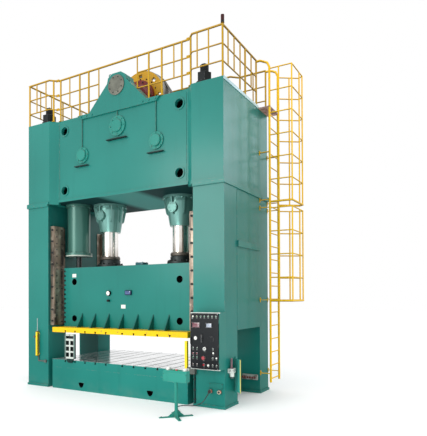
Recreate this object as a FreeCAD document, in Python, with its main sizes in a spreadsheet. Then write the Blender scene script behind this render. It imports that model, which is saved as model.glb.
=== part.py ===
"""Straight-side two-point mechanical press with its deck railings, caged ladder and two-hand stand.

Frame: origin on the floor under the middle of the press, +X to the operator's right,
+Y from the operator's side to the back, +Z up. All sizes are in millimetres.
The press stands at the bottom of its stroke.
"""
import FreeCAD, Part
import Sketcher
import math
import os

V = FreeCAD.Vector
doc = FreeCAD.newDocument("press")
sheet = doc.addObject("Spreadsheet::Sheet", "Sizes")


# ---------------------------------------------------------------- sizes and formulas

class Size:
    """A number together with the formula that binds it to the sheet."""

    def __init__(self, value, formula):
        self.value = float(value)
        self.formula = formula

    def __add__(self, other):
        other = size(other)
        return Size(self.value + other.value, f"({self.formula} + {other.formula})")

    def __sub__(self, other):
        other = size(other)
        return Size(self.value - other.value, f"({self.formula} - {other.formula})")

    def __mul__(self, other):
        other = size(other)
        return Size(self.value * other.value, f"({self.formula} * {other.formula})")

    def __truediv__(self, other):
        other = size(other)
        return Size(self.value / other.value, f"({self.formula} / {other.formula})")

    def __neg__(self):
        return Size(-self.value, f"(-1 * {self.formula})")

    def __radd__(self, other):
        return size(other) + self

    def __rsub__(self, other):
        return size(other) - self

    def __rmul__(self, other):
        return size(other) * self


def size(number):
    """Turn a plain number into a Size; a Size stays as it is."""
    if isinstance(number, Size):
        return number
    return Size(number, f"({number:.6f})")


def cell(alias, number):
    """Write a driving dimension into the sheet and return it as a Size."""
    row = len(SHEET_ROWS) + 1
    SHEET_ROWS.append(alias)
    sheet.set(f"A{row}", alias)
    sheet.set(f"B{row}", str(number))
    sheet.setAlias(f"B{row}", alias)
    return Size(number, f"Sizes.{alias}")


SHEET_ROWS = []

# the frame
frame_width = cell("frame_width", 5270)
frame_depth = cell("frame_depth", 2130)
frame_height = cell("frame_height", 6180)
opening_width = cell("opening_width", 3940)
joint_level = cell("joint_level", 4245)
flange_thick = cell("flange_thick", 50)
flange_proud = cell("flange_proud", 30)
bed_width = cell("bed_width", 3672)
bed_top = cell("bed_top", 481)
bolster_top = cell("bolster_top", 661)
window_front = cell("window_front", 530)
window_back = cell("window_back", 600)
window_height = cell("window_height", 1430)
rod_bore = cell("rod_bore", 92)
rod_radius = cell("rod_radius", 85)
rod_across = cell("rod_across", 2130)
rod_along = cell("rod_along", 880)

# the slide and its drive
slide_bottom = cell("slide_bottom", 1280)
slide_flange = cell("slide_flange", 113)
slide_top = cell("slide_top", 2765)
slide_half_width = cell("slide_half_width", 1785)
slide_half_depth = cell("slide_half_depth", 750)
slot_pitch = cell("slot_pitch", 300)
slot_start = cell("slot_start", 225)
stroke = cell("stroke", 250)
plunger_across = cell("plunger_across", 1018)
plunger_radius = cell("plunger_radius", 190)
running_gap = cell("running_gap", 0.08)
slide_gap = cell("slide_gap", 0.3)
crank_level = cell("crank_level", 5280)
balance_across = cell("balance_across", 1640)
balance_along = cell("balance_along", 415)

# the crown
crown_bottom = cell("crown_bottom", 4285)
crown_recess = cell("crown_recess", 140)
crown_plate = cell("crown_plate", 60)
crown_half = cell("crown_half", 1780)
crown_box_edge = cell("crown_box_edge", 1940)

# gearing: tooth counts and modules
gear_module = cell("gear_module", 24)
crank_teeth = cell("crank_teeth", 67)
middle_pinion_teeth = cell("middle_pinion_teeth", 27)
drive_module = cell("drive_module", 20)
middle_gear_teeth = cell("middle_gear_teeth", 70)
drive_pinion_teeth = cell("drive_pinion_teeth", 17)
flywheel_radius = cell("flywheel_radius", 650)

# deck, ladder and stand
rail_height = cell("rail_height", 973)
rung_pitch = cell("rung_pitch", 282)

half_width = frame_width / 2
front = -1 * frame_depth / 2
back = frame_depth / 2
column_edge = opening_width / 2

# shaft centres follow from the tooth counts
crank_distance = gear_module.value * (crank_teeth.value + middle_pinion_teeth.value) / 2
middle_level = crank_level.value + math.sqrt(crank_distance ** 2 - plunger_across.value ** 2)
drive_distance = drive_module.value * (middle_gear_teeth.value + drive_pinion_teeth.value) / 2
drive_level = middle_level + drive_distance


# ---------------------------------------------------------------- ways of making a piece

def bind(item, name, number):
    """Bind one property of an object to a formula of the sheet."""
    item.setExpression(name, size(number).formula)


def place(item, x, y, z):
    """Bind an object's position."""
    bind(item, "Placement.Base.x", x)
    bind(item, "Placement.Base.y", y)
    bind(item, "Placement.Base.z", z)


def box(name, x, y, z):
    """A block from its low and high limits along each axis."""
    item = doc.addObject("Part::Box", name)
    bind(item, "Length", x[1] - size(x[0]))
    bind(item, "Width", y[1] - size(y[0]))
    bind(item, "Height", z[1] - size(z[0]))
    place(item, x[0], y[0], z[0])
    return item


TURNS = {
    "Z": FreeCAD.Rotation(),
    "Y": FreeCAD.Rotation(V(1, 0, 0), -90),
    "X": FreeCAD.Rotation(V(0, 1, 0), 90),
}


def cylinder(name, radius, length, start, axis="Z"):
    """A round bar that runs from start in the positive direction of an axis."""
    item = doc.addObject("Part::Cylinder", name)
    item.Placement.Rotation = TURNS[axis]
    bind(item, "Radius", radius)
    bind(item, "Height", length)
    place(item, *start)
    return item


def fuse(label, pieces):
    """One solid from pieces that are welded or cast together."""
    item = doc.addObject("Part::MultiFuse", label)
    item.Shapes = pieces
    return item


def group(label, pieces):
    """Like pieces that stay separate solids in one node."""
    item = doc.addObject("Part::Compound", label)
    item.Links = pieces
    return item


def mirror(label, source, axis):
    """The same piece on the other side of the press."""
    item = doc.addObject("Part::Mirroring", label)
    item.Source = source
    item.Normal = {"X": V(1, 0, 0), "Y": V(0, 1, 0)}[axis]
    return item


def opposite(label, source):
    """The same piece at the opposite corner of the press."""
    return mirror(label, mirror(label + "_across", source, "X"), "Y")


def four_corners(label, source):
    """A piece and its three mirror images, as separate solids."""
    across = mirror(label + "_across", source, "X")
    along = mirror(label + "_along", source, "Y")
    return group(label, [source, across, along, opposite(label + "_opposite", source)])


def new_body(label):
    return doc.addObject("PartDesign::Body", label)


def new_sketch(body, plane, offset=0):
    """A sketch on one of the body's own origin planes, shifted along the plane's normal."""
    item = body.newObject("Sketcher::SketchObject", body.Name + "_sketch")
    planes = [part for part in body.Origin.OriginFeatures if part.Role == plane + "_Plane"]
    item.AttachmentSupport = (planes[0], [""])
    item.MapMode = "FlatFace"
    bind(item, "AttachmentOffset.Base.z", offset)
    return item


def fix_point(item, element, corner, u, v):
    """Hold a sketch point at a distance from the sketch's origin, bound to the sheet."""
    for kind, number in (("DistanceX", u), ("DistanceY", v)):
        number = size(number)
        rule = Sketcher.Constraint(kind, -1, 1, element, corner, number.value)
        index = item.addConstraint(rule)
        item.setExpression(f"Constraints[{index}]", number.formula)


def outline(item, points):
    """A closed outline of straight edges, each corner held by the sheet."""
    count = len(points)
    flat = [V(size(u).value, size(v).value, 0) for u, v in points]
    first = item.GeometryCount
    for number in range(count):
        item.addGeometry(Part.LineSegment(flat[number], flat[(number + 1) % count]), False)
    for number in range(count):
        this = first + number
        following = first + (number + 1) % count
        item.addConstraint(Sketcher.Constraint("Coincident", this, 2, following, 1))
    for number in range(count):
        fix_point(item, first + number, 1, *points[number])


def rectangle(item, u, v):
    outline(item, [(u[0], v[0]), (u[1], v[0]), (u[1], v[1]), (u[0], v[1])])


def circle(item, u, v, radius):
    index = item.GeometryCount
    centre = V(size(u).value, size(v).value, 0)
    item.addGeometry(Part.Circle(centre, V(0, 0, 1), size(radius).value), False)
    fix_point(item, index, 3, u, v)
    rule = item.addConstraint(Sketcher.Constraint("Radius", index, size(radius).value))
    item.setExpression(f"Constraints[{rule}]", size(radius).formula)


def pad(body, profile, length, back_way=False):
    item = body.newObject("PartDesign::Pad", body.Name + "_pad")
    item.Profile = profile
    bind(item, "Length", length)
    item.Reversed = back_way
    return item


def pocket(body, profile, depth, back_way=False):
    item = body.newObject("PartDesign::Pocket", body.Name + "_pocket")
    item.Profile = profile
    bind(item, "Length", depth)
    item.Reversed = back_way
    return item


def turned(body, profile):
    """A full turn of a profile about the sketch's vertical axis."""
    item = body.newObject("PartDesign::Revolution", body.Name + "_turned")
    item.Profile = profile
    item.ReferenceAxis = (profile, ["V_Axis"])
    item.Angle = 360
    return item


def around(body, feature, axis, count):
    """Repeat a feature round one of the body's own axes."""
    item = body.newObject("PartDesign::PolarPattern", body.Name + "_round")
    item.Originals = [feature]
    axes = [part for part in body.Origin.OriginFeatures if part.Role == axis + "_Axis"]
    item.Axis = (axes[0], [""])
    item.Angle = 360
    item.Occurrences = count
    body.Tip = item
    return item


def in_line(body, feature, axis, pitch, count):
    """Repeat a feature along one of the body's own axes."""
    item = body.newObject("PartDesign::LinearPattern", body.Name + "_row")
    item.Originals = [feature]
    axes = [part for part in body.Origin.OriginFeatures if part.Role == axis + "_Axis"]
    item.Direction = (axes[0], [""])
    bind(item, "Length", pitch * (count - 1))
    item.Occurrences = count
    body.Tip = item
    return item


NODES = []


def node(item, label=None):
    """Name a finished sub-part; its name is also its file's name."""
    item.Label = label or item.Label
    NODES.append(item)
    return item


# ---------------------------------------------------------------- bed and bolster

def tee_slots(body, level, depth_sign):
    """Rows of tee slots that run front to back; the sign says which way they sink."""
    mouth, head, neck, total = 14, 25, 28, 48
    for side in (1, -1):
        start = slot_start * side
        profile = new_sketch(body, "XZ", -1 * front)
        corners = [(-mouth, 0), (-mouth, neck), (-head, neck), (-head, total),
                   (head, total), (head, neck), (mouth, neck), (mouth, 0)]
        outline(profile, [(start + u, level + depth_sign * v) for u, v in corners])
        slot = pocket(body, profile, frame_depth)
        row = in_line(body, slot, "X", slot_pitch, 5)
        row.Reversed = side < 0


bed = new_body("bed")
base = new_sketch(bed, "XY")
rectangle(base, (-1 * bed_width / 2, bed_width / 2), (front, back))
pad(bed, base, bed_top)
shoulder_depth = 765
shoulders = new_sketch(bed, "XY")
rectangle(shoulders, (-1 * column_edge, column_edge), (-shoulder_depth, shoulder_depth))
pad(bed, shoulders, bed_top)
lift_across = 940
for side in (-1, 1):
    hook = new_sketch(bed, "XZ", -1 * front)
    middle = side * lift_across
    outline(hook, [(middle - 45, 170), (middle + 45, 170), (middle + 14, 80), (middle - 14, 80)])
    pocket(bed, hook, 120)
node(bed)

bolster = new_body("bolster")
plate = new_sketch(bolster, "XY", bed_top)
rectangle(plate, (-1 * bed_width / 2, bed_width / 2), (front, back))
pad(bolster, plate, bolster_top - bed_top)
tee_slots(bolster, bolster_top, -1)
node(bolster)


# ---------------------------------------------------------------- uprights

right_upright = new_body("right_upright_shell")
portal = new_sketch(right_upright, "YZ", column_edge)
outline(portal, [
    (front, 0), (-1 * window_front, 0), (-1 * window_front, window_height),
    (window_back, window_height), (window_back, 0), (back, 0),
    (back, joint_level), (front, joint_level),
])
pad(right_upright, portal, half_width - column_edge)
band = new_sketch(right_upright, "XY", joint_level - flange_thick)
rectangle(band, (column_edge, half_width + flange_proud), (front - flange_proud, back + flange_proud))
pad(right_upright, band, flange_thick)
foot_thick, foot_proud = 50, 20
for low, high in ((front, -1 * window_front), (window_back, back)):
    foot = new_sketch(right_upright, "XY")
    rectangle(foot, (column_edge, half_width + foot_proud), (low - foot_proud, high + foot_proud))
    pad(right_upright, foot, foot_thick)
seam = new_sketch(right_upright, "YZ", half_width)
rectangle(seam, (front, -1 * window_front), (foot_thick, joint_level - flange_thick))
pad(right_upright, seam, 8)
ledge = new_sketch(right_upright, "YZ", half_width)
rectangle(ledge, (-1 * window_front, window_back - 30), (3057, 3177))
pad(right_upright, ledge, 45)
for along in (-1 * rod_along, rod_along):
    bore = new_sketch(right_upright, "XY", joint_level)
    circle(bore, rod_across, along, rod_bore)
    pocket(right_upright, bore, joint_level)
    seat = new_sketch(right_upright, "XY", 160)
    circle(seat, rod_across, along, 140)
    pocket(right_upright, seat, 160)
node(mirror("left_upright", right_upright, "X"))

guard_bottom, guard_top = 274, 896
guard_axis = (half_width + 18, -640)
knuckles = []
for level in (guard_bottom - 34, guard_top + 1):
    knuckles.append(cylinder("guard_knuckle", 9, 33, (guard_axis[0], guard_axis[1], level)))
    knuckles.append(box("guard_leaf", (half_width + 8, guard_axis[0]), (guard_axis[1] - 9, guard_axis[1] + 9),
                        (level, level + 33)))
node(fuse("right_upright_with_hinges", [right_upright] + knuckles), "right_upright")


# ---------------------------------------------------------------- crown

right_box = new_body("crown_right_box")
plan = new_sketch(right_box, "XY", joint_level)
bevel_start = front + crown_recess
outline(plan, [
    (crown_box_edge, front), (half_width, front), (half_width, back), (crown_box_edge, back),
    (crown_half, -1 * bevel_start), (crown_half, -1 * bevel_start - crown_plate),
    (crown_box_edge, -1 * bevel_start - crown_plate), (crown_box_edge, bevel_start + crown_plate),
    (crown_half, bevel_start + crown_plate), (crown_half, bevel_start),
])
pad(right_box, plan, frame_height - joint_level)
band = new_sketch(right_box, "XY", joint_level)
rectangle(band, (crown_box_edge, half_width + flange_proud), (front - flange_proud, back + flange_proud))
pad(right_box, band, flange_thick)
for along in (-1 * rod_along, rod_along):
    bore = new_sketch(right_box, "XY", frame_height)
    circle(bore, rod_across, along, rod_bore)
    pocket(right_box, bore, frame_height - joint_level)
node(right_box)
node(mirror("crown_left_box", right_box, "X"))

crown = new_body("crown_housing")
floor_thick = 100
inner = -1 * bevel_start - crown_plate
floor_plan = new_sketch(crown, "XY", crown_bottom)
rectangle(floor_plan, (-1 * crown_box_edge, crown_box_edge), (-1 * inner, inner))
pad(crown, floor_plan, floor_thick)
for low, high in ((bevel_start, -1 * inner), (inner, -1 * bevel_start)):
    wall = new_sketch(crown, "XY", crown_bottom)
    rectangle(wall, (-1 * crown_half, crown_half), (low, high))
    pad(crown, wall, frame_height - crown_bottom)
lip = new_sketch(crown, "XZ", -1 * bevel_start)
rectangle(lip, (-1 * crown_half, crown_half), (crown_bottom, crown_bottom + 60))
pad(crown, lip, 20)
hole_across, hole_high, hole_low, hole_radius = 1578, 5925, 4545, 96
for across in (-hole_across, hole_across):
    for level in (hole_low, hole_high):
        rim = new_sketch(crown, "XZ", -1 * bevel_start)
        circle(rim, across, level, hole_radius + 30)
        pad(crown, rim, 15)
tray_deep, tray_thick = 75, 16
for across, level, length in ((0, 5474, 540), (-1018, 5026, 390), (1018, 5026, 390)):
    tray = new_sketch(crown, "XZ", -1 * bevel_start)
    rectangle(tray, (across - length / 2, across + length / 2), (level, level + tray_thick))
    pad(crown, tray, tray_deep)
openings = new_sketch(crown, "XZ", -1 * bevel_start + tray_deep)
for across in (-hole_across, hole_across):
    for level in (hole_low, hole_high):
        circle(openings, across, level, hole_radius)
pocket(crown, openings, tray_deep + crown_plate)
pin_radius, middle_journal = 90, 80
bores = new_sketch(crown, "XZ", -1 * bevel_start)
for across in (-1 * plunger_across, plunger_across):
    circle(bores, across, crank_level, pin_radius + 0.1)
circle(bores, 0, middle_level, middle_journal + running_gap)
pocket(crown, bores, -2 * bevel_start)
motor_across, motor_level, motor_radius = 950, 6150, 190
shelf = new_sketch(crown, "XY", 5900)
rectangle(shelf, (motor_across - 200, motor_across + 200), (300, inner))
pad(crown, shelf, 30)
passages = new_sketch(crown, "XY", crown_bottom + floor_thick)
for across in (-1 * plunger_across, plunger_across):
    circle(passages, across, 0, plunger_radius + 10)
pocket(crown, passages, floor_thick)
node(crown)

deck = new_body("crown_deck")
deck_thick = 60
deck_plan = new_sketch(deck, "XY", frame_height - deck_thick)
rectangle(deck_plan, (-1 * crown_box_edge, crown_box_edge), (-1 * inner, inner))
pad(deck, deck_plan, deck_thick)
slots = new_sketch(deck, "XY", frame_height)
rectangle(slots, (-680, 680), (-1 * inner, -725))
rectangle(slots, (-640, motor_across - motor_radius - 20), (-240, 190))
rectangle(slots, (motor_across - motor_radius - 20, motor_across + motor_radius + 20), (-20, 840))
pocket(deck, slots, deck_thick)
pedestal = new_sketch(deck, "XZ", -320)
outline(pedestal, [(-230, frame_height), (-120, drive_level + 60), (-60, drive_level + 120),
                   (60, drive_level + 120), (120, drive_level + 60), (230, frame_height)])
pad(deck, pedestal, 80)
bearing = new_sketch(deck, "XZ", -240)
circle(bearing, 0, drive_level, 70 + running_gap)
pocket(deck, bearing, 80)
node(deck)


# ---------------------------------------------------------------- tie rods

rod = new_body("tie_rod")
place(rod, rod_across, rod_along, 0)
profile = new_sketch(rod, "XZ")
outline(profile, [(0, 20), (138, 20), (138, 159), (rod_radius, 159), (rod_radius, 6560),
                  (rod_radius - 15, 6575), (0, 6575)])
turned(rod, profile)
node(four_corners("tie_rods", rod))

nut = new_body("tie_rod_nut")
place(nut, rod_across, rod_along, frame_height)
hexagon = new_sketch(nut, "XY", 40)
nut_across = 150
corners = [(nut_across * math.cos(math.radians(60 * k)), nut_across * math.sin(math.radians(60 * k)))
           for k in range(6)]
outline(hexagon, corners)
pad(nut, hexagon, 180)
washer = new_sketch(nut, "XY")
circle(washer, 0, 0, 168)
pad(nut, washer, 40)
hole = new_sketch(nut, "XY", 220)
circle(hole, 0, 0, rod_radius)
pocket(nut, hole, 220)
node(four_corners("tie_rod_nuts", nut))


# ---------------------------------------------------------------- gib rails

rail = new_body("gib_rail")
gib_bottom, gib_top = 1430, 3740
gib_face, tongue_face = 700, 1955
section = new_sketch(rail, "XY", gib_bottom)
outline(section, [
    (column_edge, -1000), (1850, -1000), (1850, -1 * slide_gap - gib_face),
    (slide_gap + tongue_face, -1 * slide_gap - gib_face), (slide_gap + tongue_face, -560),
    (column_edge, -560),
])
pad(rail, section, gib_top - gib_bottom)
rear_rail = mirror("gib_rail_rear", rail, "Y")
right_rails = group("right_gib_rails", [rail, rear_rail])
node(right_rails)
node(mirror("left_gib_rails", right_rails, "X"))


# ---------------------------------------------------------------- slide

slide = new_body("slide")
flange = new_sketch(slide, "XY", slide_bottom)
rectangle(flange, (-1 * bed_width / 2, bed_width / 2), (front, back))
pad(slide, flange, slide_flange)
block = new_sketch(slide, "XY", slide_bottom + slide_flange)
rectangle(block, (-1 * slide_half_width, slide_half_width), (-1 * slide_half_depth, slide_half_depth))
pad(slide, block, slide_top - slide_bottom - slide_flange)
for low, high in ((-gib_face, -560), (560, gib_face)):
    tongue = new_sketch(slide, "XY", gib_bottom + 10)
    rectangle(tongue, (-tongue_face, tongue_face), (low, high))
    pad(slide, tongue, slide_top - gib_bottom - 40)
gusset_step, gusset_deep, gusset_high, gusset_thick = 400, 185, 323, 24
for way in (-1, 1):
    rib = new_sketch(slide, "YZ", -3 * gusset_step - gusset_thick / 2)
    foot_level = slide_bottom + slide_flange
    face = way * slide_half_depth
    outline(rib, [(face, foot_level), (face + way * gusset_deep, foot_level),
                  (face, foot_level + gusset_high)])
    one = pad(slide, rib, gusset_thick)
    in_line(slide, one, "X", gusset_step, 7)
sling_across, sling_high, sling_low, sling_radius = 1457, 2437, 1585, 75
slings = new_sketch(slide, "XZ", slide_half_depth)
for across in (-sling_across, sling_across):
    for level in (sling_low, sling_high):
        circle(slings, across, level, sling_radius)
pocket(slide, slings, 160)
tee_slots(slide, slide_bottom, 1)
node(slide)


# ---------------------------------------------------------------- plungers and their guides

plunger = new_body("right_plunger")
place(plunger, plunger_across, 0, 0)
plunger_top = 4400
bolts_across = 265
profile = new_sketch(plunger, "XZ")
outline(profile, [
    (0, slide_top), (310, slide_top), (310, slide_top + 90), (240, slide_top + 90),
    (240, slide_top + 195), (200, slide_top + 210), (plunger_radius, slide_top + 210),
    (plunger_radius, plunger_top - 15), (plunger_radius - 15, plunger_top), (110, plunger_top),
    (110, plunger_top - 400), (0, plunger_top - 400),
])
turned(plunger, profile)
bolt = new_sketch(plunger, "XY", slide_top + 90)
circle(bolt, bolts_across + 10, 0, 24)
head = pad(plunger, bolt, 32)
around(plunger, head, "Z", 12)
node(plunger)
node(mirror("left_plunger", plunger, "X"))

guide = new_body("right_plunger_guide")
place(guide, plunger_across, 0, 0)
guide_bottom = 3633
guide_bore = plunger_radius + running_gap
profile = new_sketch(guide, "XZ")
outline(profile, [
    (170, guide_bottom), (245, guide_bottom), (258, guide_bottom + 60), (330, 4150),
    (330, crown_bottom - 55), (400, crown_bottom - 55), (400, crown_bottom), (170, crown_bottom),
])
turned(guide, profile)
web = new_sketch(guide, "XZ", -12)
outline(web, [(290, 3860), (330, 3900), (395, crown_bottom - 56), (395, crown_bottom - 40),
              (300, crown_bottom - 40)])
fin = pad(guide, web, 24)
around(guide, fin, "Z", 8)
boss = new_sketch(guide, "XZ", 150)
circle(boss, 0, 4014, 112)
pad(guide, boss, 213)
bore = new_sketch(guide, "XY", crown_bottom)
circle(bore, 0, 0, guide_bore)
pocket(guide, bore, crown_bottom - guide_bottom)
node(guide)
node(mirror("left_plunger_guide", guide, "X"))

cylinder_body = new_body("right_balance_cylinder")
place(cylinder_body, balance_across, balance_along, 0)
shell_bottom, rod_size = 3051, 60
profile = new_sketch(cylinder_body, "XZ")
outline(profile, [
    (running_gap + rod_size, shell_bottom), (312, shell_bottom), (312, shell_bottom + 80),
    (265, shell_bottom + 80), (265, crown_bottom - 60), (298, crown_bottom - 60),
    (298, crown_bottom), (0, crown_bottom), (0, crown_bottom - 90), (225, crown_bottom - 90),
    (225, shell_bottom + 80), (running_gap + rod_size, shell_bottom + 80),
])
turned(cylinder_body, profile)
bolt = new_sketch(cylinder_body, "XY", shell_bottom + 80)
circle(bolt, 288, 0, 15)
head = pad(cylinder_body, bolt, 20)
around(cylinder_body, head, "Z", 12)
node(cylinder_body)
node(opposite("left_balance_cylinder", cylinder_body))

balance_rod = new_body("right_balance_rod")
place(balance_rod, balance_across, balance_along, 0)
profile = new_sketch(balance_rod, "XZ")
outline(profile, [
    (0, slide_top), (120, slide_top), (120, slide_top + 20), (rod_size, slide_top + 30),
    (rod_size, 3200), (224.6, 3200), (224.6, 3340), (rod_size, 3340), (rod_size, 3400), (0, 3400),
])
turned(balance_rod, profile)
node(balance_rod)
node(opposite("left_balance_rod", balance_rod))


# ---------------------------------------------------------------- gearing inside the crown

def tooth(body, teeth, module, phase, plane, width):
    """One straight-flanked tooth, cut slim enough to leave backlash; phase is in degrees."""
    pitch_radius = module.value * teeth.value / 2
    pitch_length = math.pi * module.value
    root = pitch_radius - 1.25 * module.value
    tip = pitch_radius + 0.83 * module.value
    half_root = 0.33 * pitch_length
    half_tip = 0.11 * pitch_length
    angle = math.radians(phase)
    along, across = (math.cos(angle), math.sin(angle)), (-math.sin(angle), math.cos(angle))
    corners = [(root, -half_root), (tip, -half_tip), (tip, half_tip), (root, half_root)]
    profile = new_sketch(body, "XZ", plane)
    outline(profile, [(a * along[0] + b * across[0], a * along[1] + b * across[1])
                      for a, b in corners])
    one = pad(body, profile, width, True)
    around(body, one, "Y", int(teeth.value))


def wheel(body, teeth, module, phase, face, width):
    """A toothed rim of the given width that starts at face and runs to the back."""
    root = (teeth * module) / 2 - module * 1.15
    disc = new_sketch(body, "XZ", -1 * face)
    circle(disc, 0, 0, root)
    pad(body, disc, width, True)
    tooth(body, teeth, module, phase, -1 * face, width)


def mating_phase(own_phase, own_teeth, direction, other_teeth):
    """Phase of the wheel that meshes with this one, seen in the direction of its centre."""
    lead = own_phase - direction
    half_pitch = 180 / other_teeth.value
    return direction + 180 - lead * own_teeth.value / other_teeth.value + half_pitch


crank_face, crank_width = -450, 200
middle_face, middle_width = -850, 110
drum_radius, strap_gap = 360, 0.3
throw = stroke / 2
to_crank = math.degrees(math.atan2(crank_level.value - middle_level, plunger_across.value))

middle = new_body("middle_gear_shaft")
place(middle, 0, 0, middle_level)
wheel(middle, middle_gear_teeth, drive_module, 90, middle_face, middle_width)
wheel(middle, middle_pinion_teeth, gear_module, -90, crank_face, crank_width)
shaft = new_sketch(middle, "XZ", -1 * bevel_start - 0.5)
circle(shaft, 0, 0, middle_journal)
pad(middle, shaft, -2 * bevel_start - 1, True)
node(middle)

drive = new_body("drive_shaft")
place(drive, 0, 0, drive_level)
drive_journal, hub_bore = 70, 100
drive_phase = mating_phase(90, middle_gear_teeth, 90, drive_pinion_teeth)
wheel(drive, drive_pinion_teeth, drive_module, drive_phase, middle_face - 10, middle_width + 20)
shaft = new_sketch(drive, "XZ", 964)
circle(shaft, 0, 0, drive_journal)
pad(drive, shaft, 964 + 330, True)
sleeve = new_sketch(drive, "XZ", 119)
circle(sleeve, 0, 0, hub_bore)
pad(drive, sleeve, 119 + 164, True)
node(drive)

crank = new_body("right_eccentric_gear")
place(crank, plunger_across, 0, crank_level)
crank_phase = mating_phase(-90, middle_pinion_teeth, to_crank, crank_teeth)
wheel(crank, crank_teeth, gear_module, crank_phase, crank_face, crank_width)
drum = new_sketch(crank, "XZ", -1 * size(crank_face) - crank_width)
circle(drum, 0, -1 * throw, drum_radius)
pad(crank, drum, 115 - crank_face - crank_width, True)
bore = new_sketch(crank, "XZ", -1 * size(crank_face))
circle(bore, 0, 0, pin_radius + running_gap)
pocket(crank, bore, 115 - crank_face)
node(crank)
node(mirror("left_eccentric_gear", crank, "X"))

pin = new_body("eccentric_pin")
place(pin, plunger_across, 0, crank_level)
profile = new_sketch(pin, "XY")
outline(profile, [
    (0, bevel_start - 72), (112, bevel_start - 72), (125, bevel_start - 60), (125, bevel_start - 28),
    (178, bevel_start - 28), (178, bevel_start), (pin_radius, bevel_start),
    (pin_radius, -1 * bevel_start), (0, -1 * bevel_start),
])
turned(pin, profile)
bolt = new_sketch(pin, "XZ", -1 * bevel_start + 28)
circle(bolt, 152, 0, 13)
head = pad(pin, bolt, 14)
around(pin, head, "Y", 8)
node(group("eccentric_pins", [pin, mirror("eccentric_pin_twin", pin, "X")]))

link = new_body("right_connecting_rod")
place(link, plunger_across, 0, crank_level - throw)
strap = new_sketch(link, "XZ", 110)
circle(strap, 0, 0, 450)
pad(link, strap, 220, True)
shank = new_sketch(link, "XZ", 110)
outline(shank, [(-170, -420), (-110, -715), (110, -715), (170, -420)])
pad(link, shank, 220, True)
bore = new_sketch(link, "XZ", 110)
circle(bore, 0, 0, drum_radius + strap_gap)
pocket(link, bore, 220)
node(link)
node(mirror("left_connecting_rod", link, "X"))


# ---------------------------------------------------------------- flywheel and its motor

flywheel = new_body("flywheel")
place(flywheel, 0, 0, drive_level)
wheel_front, wheel_back, face_thick = -120, 160, 40
profile = new_sketch(flywheel, "XY")
outline(profile, [
    (hub_bore + running_gap, wheel_front), (flywheel_radius - 12, wheel_front),
    (flywheel_radius, wheel_front + 12), (flywheel_radius, wheel_back),
    (flywheel_radius - 90, wheel_back), (flywheel_radius - 90, wheel_front + face_thick),
    (200, wheel_front + face_thick), (200, wheel_back), (hub_bore + running_gap, wheel_back),
])
turned(flywheel, profile)
vent = new_sketch(flywheel, "XZ", -1 * size(wheel_front))
rectangle(vent, (490, 570), (-50, 50))
slot = pocket(flywheel, vent, face_thick)
around(flywheel, slot, "Y", 8)
node(flywheel)

clutch = new_body("clutch_housing")
place(clutch, 0, 0, drive_level)
profile = new_sketch(clutch, "XY")
outline(profile, [
    (drive_journal + 8, -250), (240, -250), (300, -215), (400, -205), (400, wheel_front),
    (drive_journal + 8, wheel_front),
])
turned(clutch, profile)
node(clutch)

motor = new_body("main_motor")
place(motor, motor_across, 0, motor_level)
motor_front, motor_back = 215, 800
profile = new_sketch(motor, "XY")
outline(profile, [
    (0, motor_front + 30), (150, motor_front + 30), (motor_radius, motor_front + 60),
    (motor_radius, motor_back - 130), (170, motor_back - 120), (170, motor_back - 12),
    (150, motor_back), (0, motor_back),
])
turned(motor, profile)
feet = new_sketch(motor, "XY", -220)
rectangle(feet, (-150, 150), (330, 640))
pad(motor, feet, 120)
terminal = new_sketch(motor, "XY", 100)
rectangle(terminal, (-80, 80), (380, 540))
pad(motor, terminal, 170)
node(motor)

pulley = new_body("motor_pulley")
place(pulley, motor_across, 0, motor_level)
pulley_radius = 120
profile = new_sketch(pulley, "XY")
outline(profile, [
    (0, 5), (138, 5), (138, 15), (pulley_radius, 18), (pulley_radius, 152), (138, 155), (138, 165),
    (40, 165), (40, motor_front + 29.5), (0, motor_front + 29.5),
])
turned(pulley, profile)
node(pulley)

belt_run = math.hypot(motor_across, drive_level - motor_level)
belt_slope = math.atan2(motor_level - drive_level, motor_across)


def belt_face(shift):
    """The flat loop round both wheels, at a distance from their rims."""
    big, small = flywheel_radius.value + shift, pulley_radius + shift
    lean = math.acos((big - small) / belt_run)
    centres = (V(0, 0, drive_level), V(motor_across, 0, motor_level))
    points = []
    for centre, radius, low, high in ((centres[0], big, lean, 2 * math.pi - lean),
                                      (centres[1], small, -lean, lean)):
        for angle in (low, (low + high) / 2, high):
            turn = belt_slope + angle
            points.append(centre + V(radius * math.cos(turn), 0, radius * math.sin(turn)))
    edges = [
        Part.Arc(*points[0:3]).toShape(), Part.makeLine(points[2], points[3]),
        Part.Arc(*points[3:6]).toShape(), Part.makeLine(points[5], points[0]),
    ]
    return Part.Face(Part.Wire(edges))


belts = []
for number in range(4):
    start = V(0, 24 + 32 * number, 0)
    outer = belt_face(14).extrude(V(0, 22, 0))
    inner_loop = belt_face(0.3).extrude(V(0, 22, 0))
    belts.append(outer.cut(inner_loop).translated(start))
loops = doc.addObject("Part::Feature", "drive_belts")
loops.Shape = Part.makeCompound(belts)
node(loops)

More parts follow.
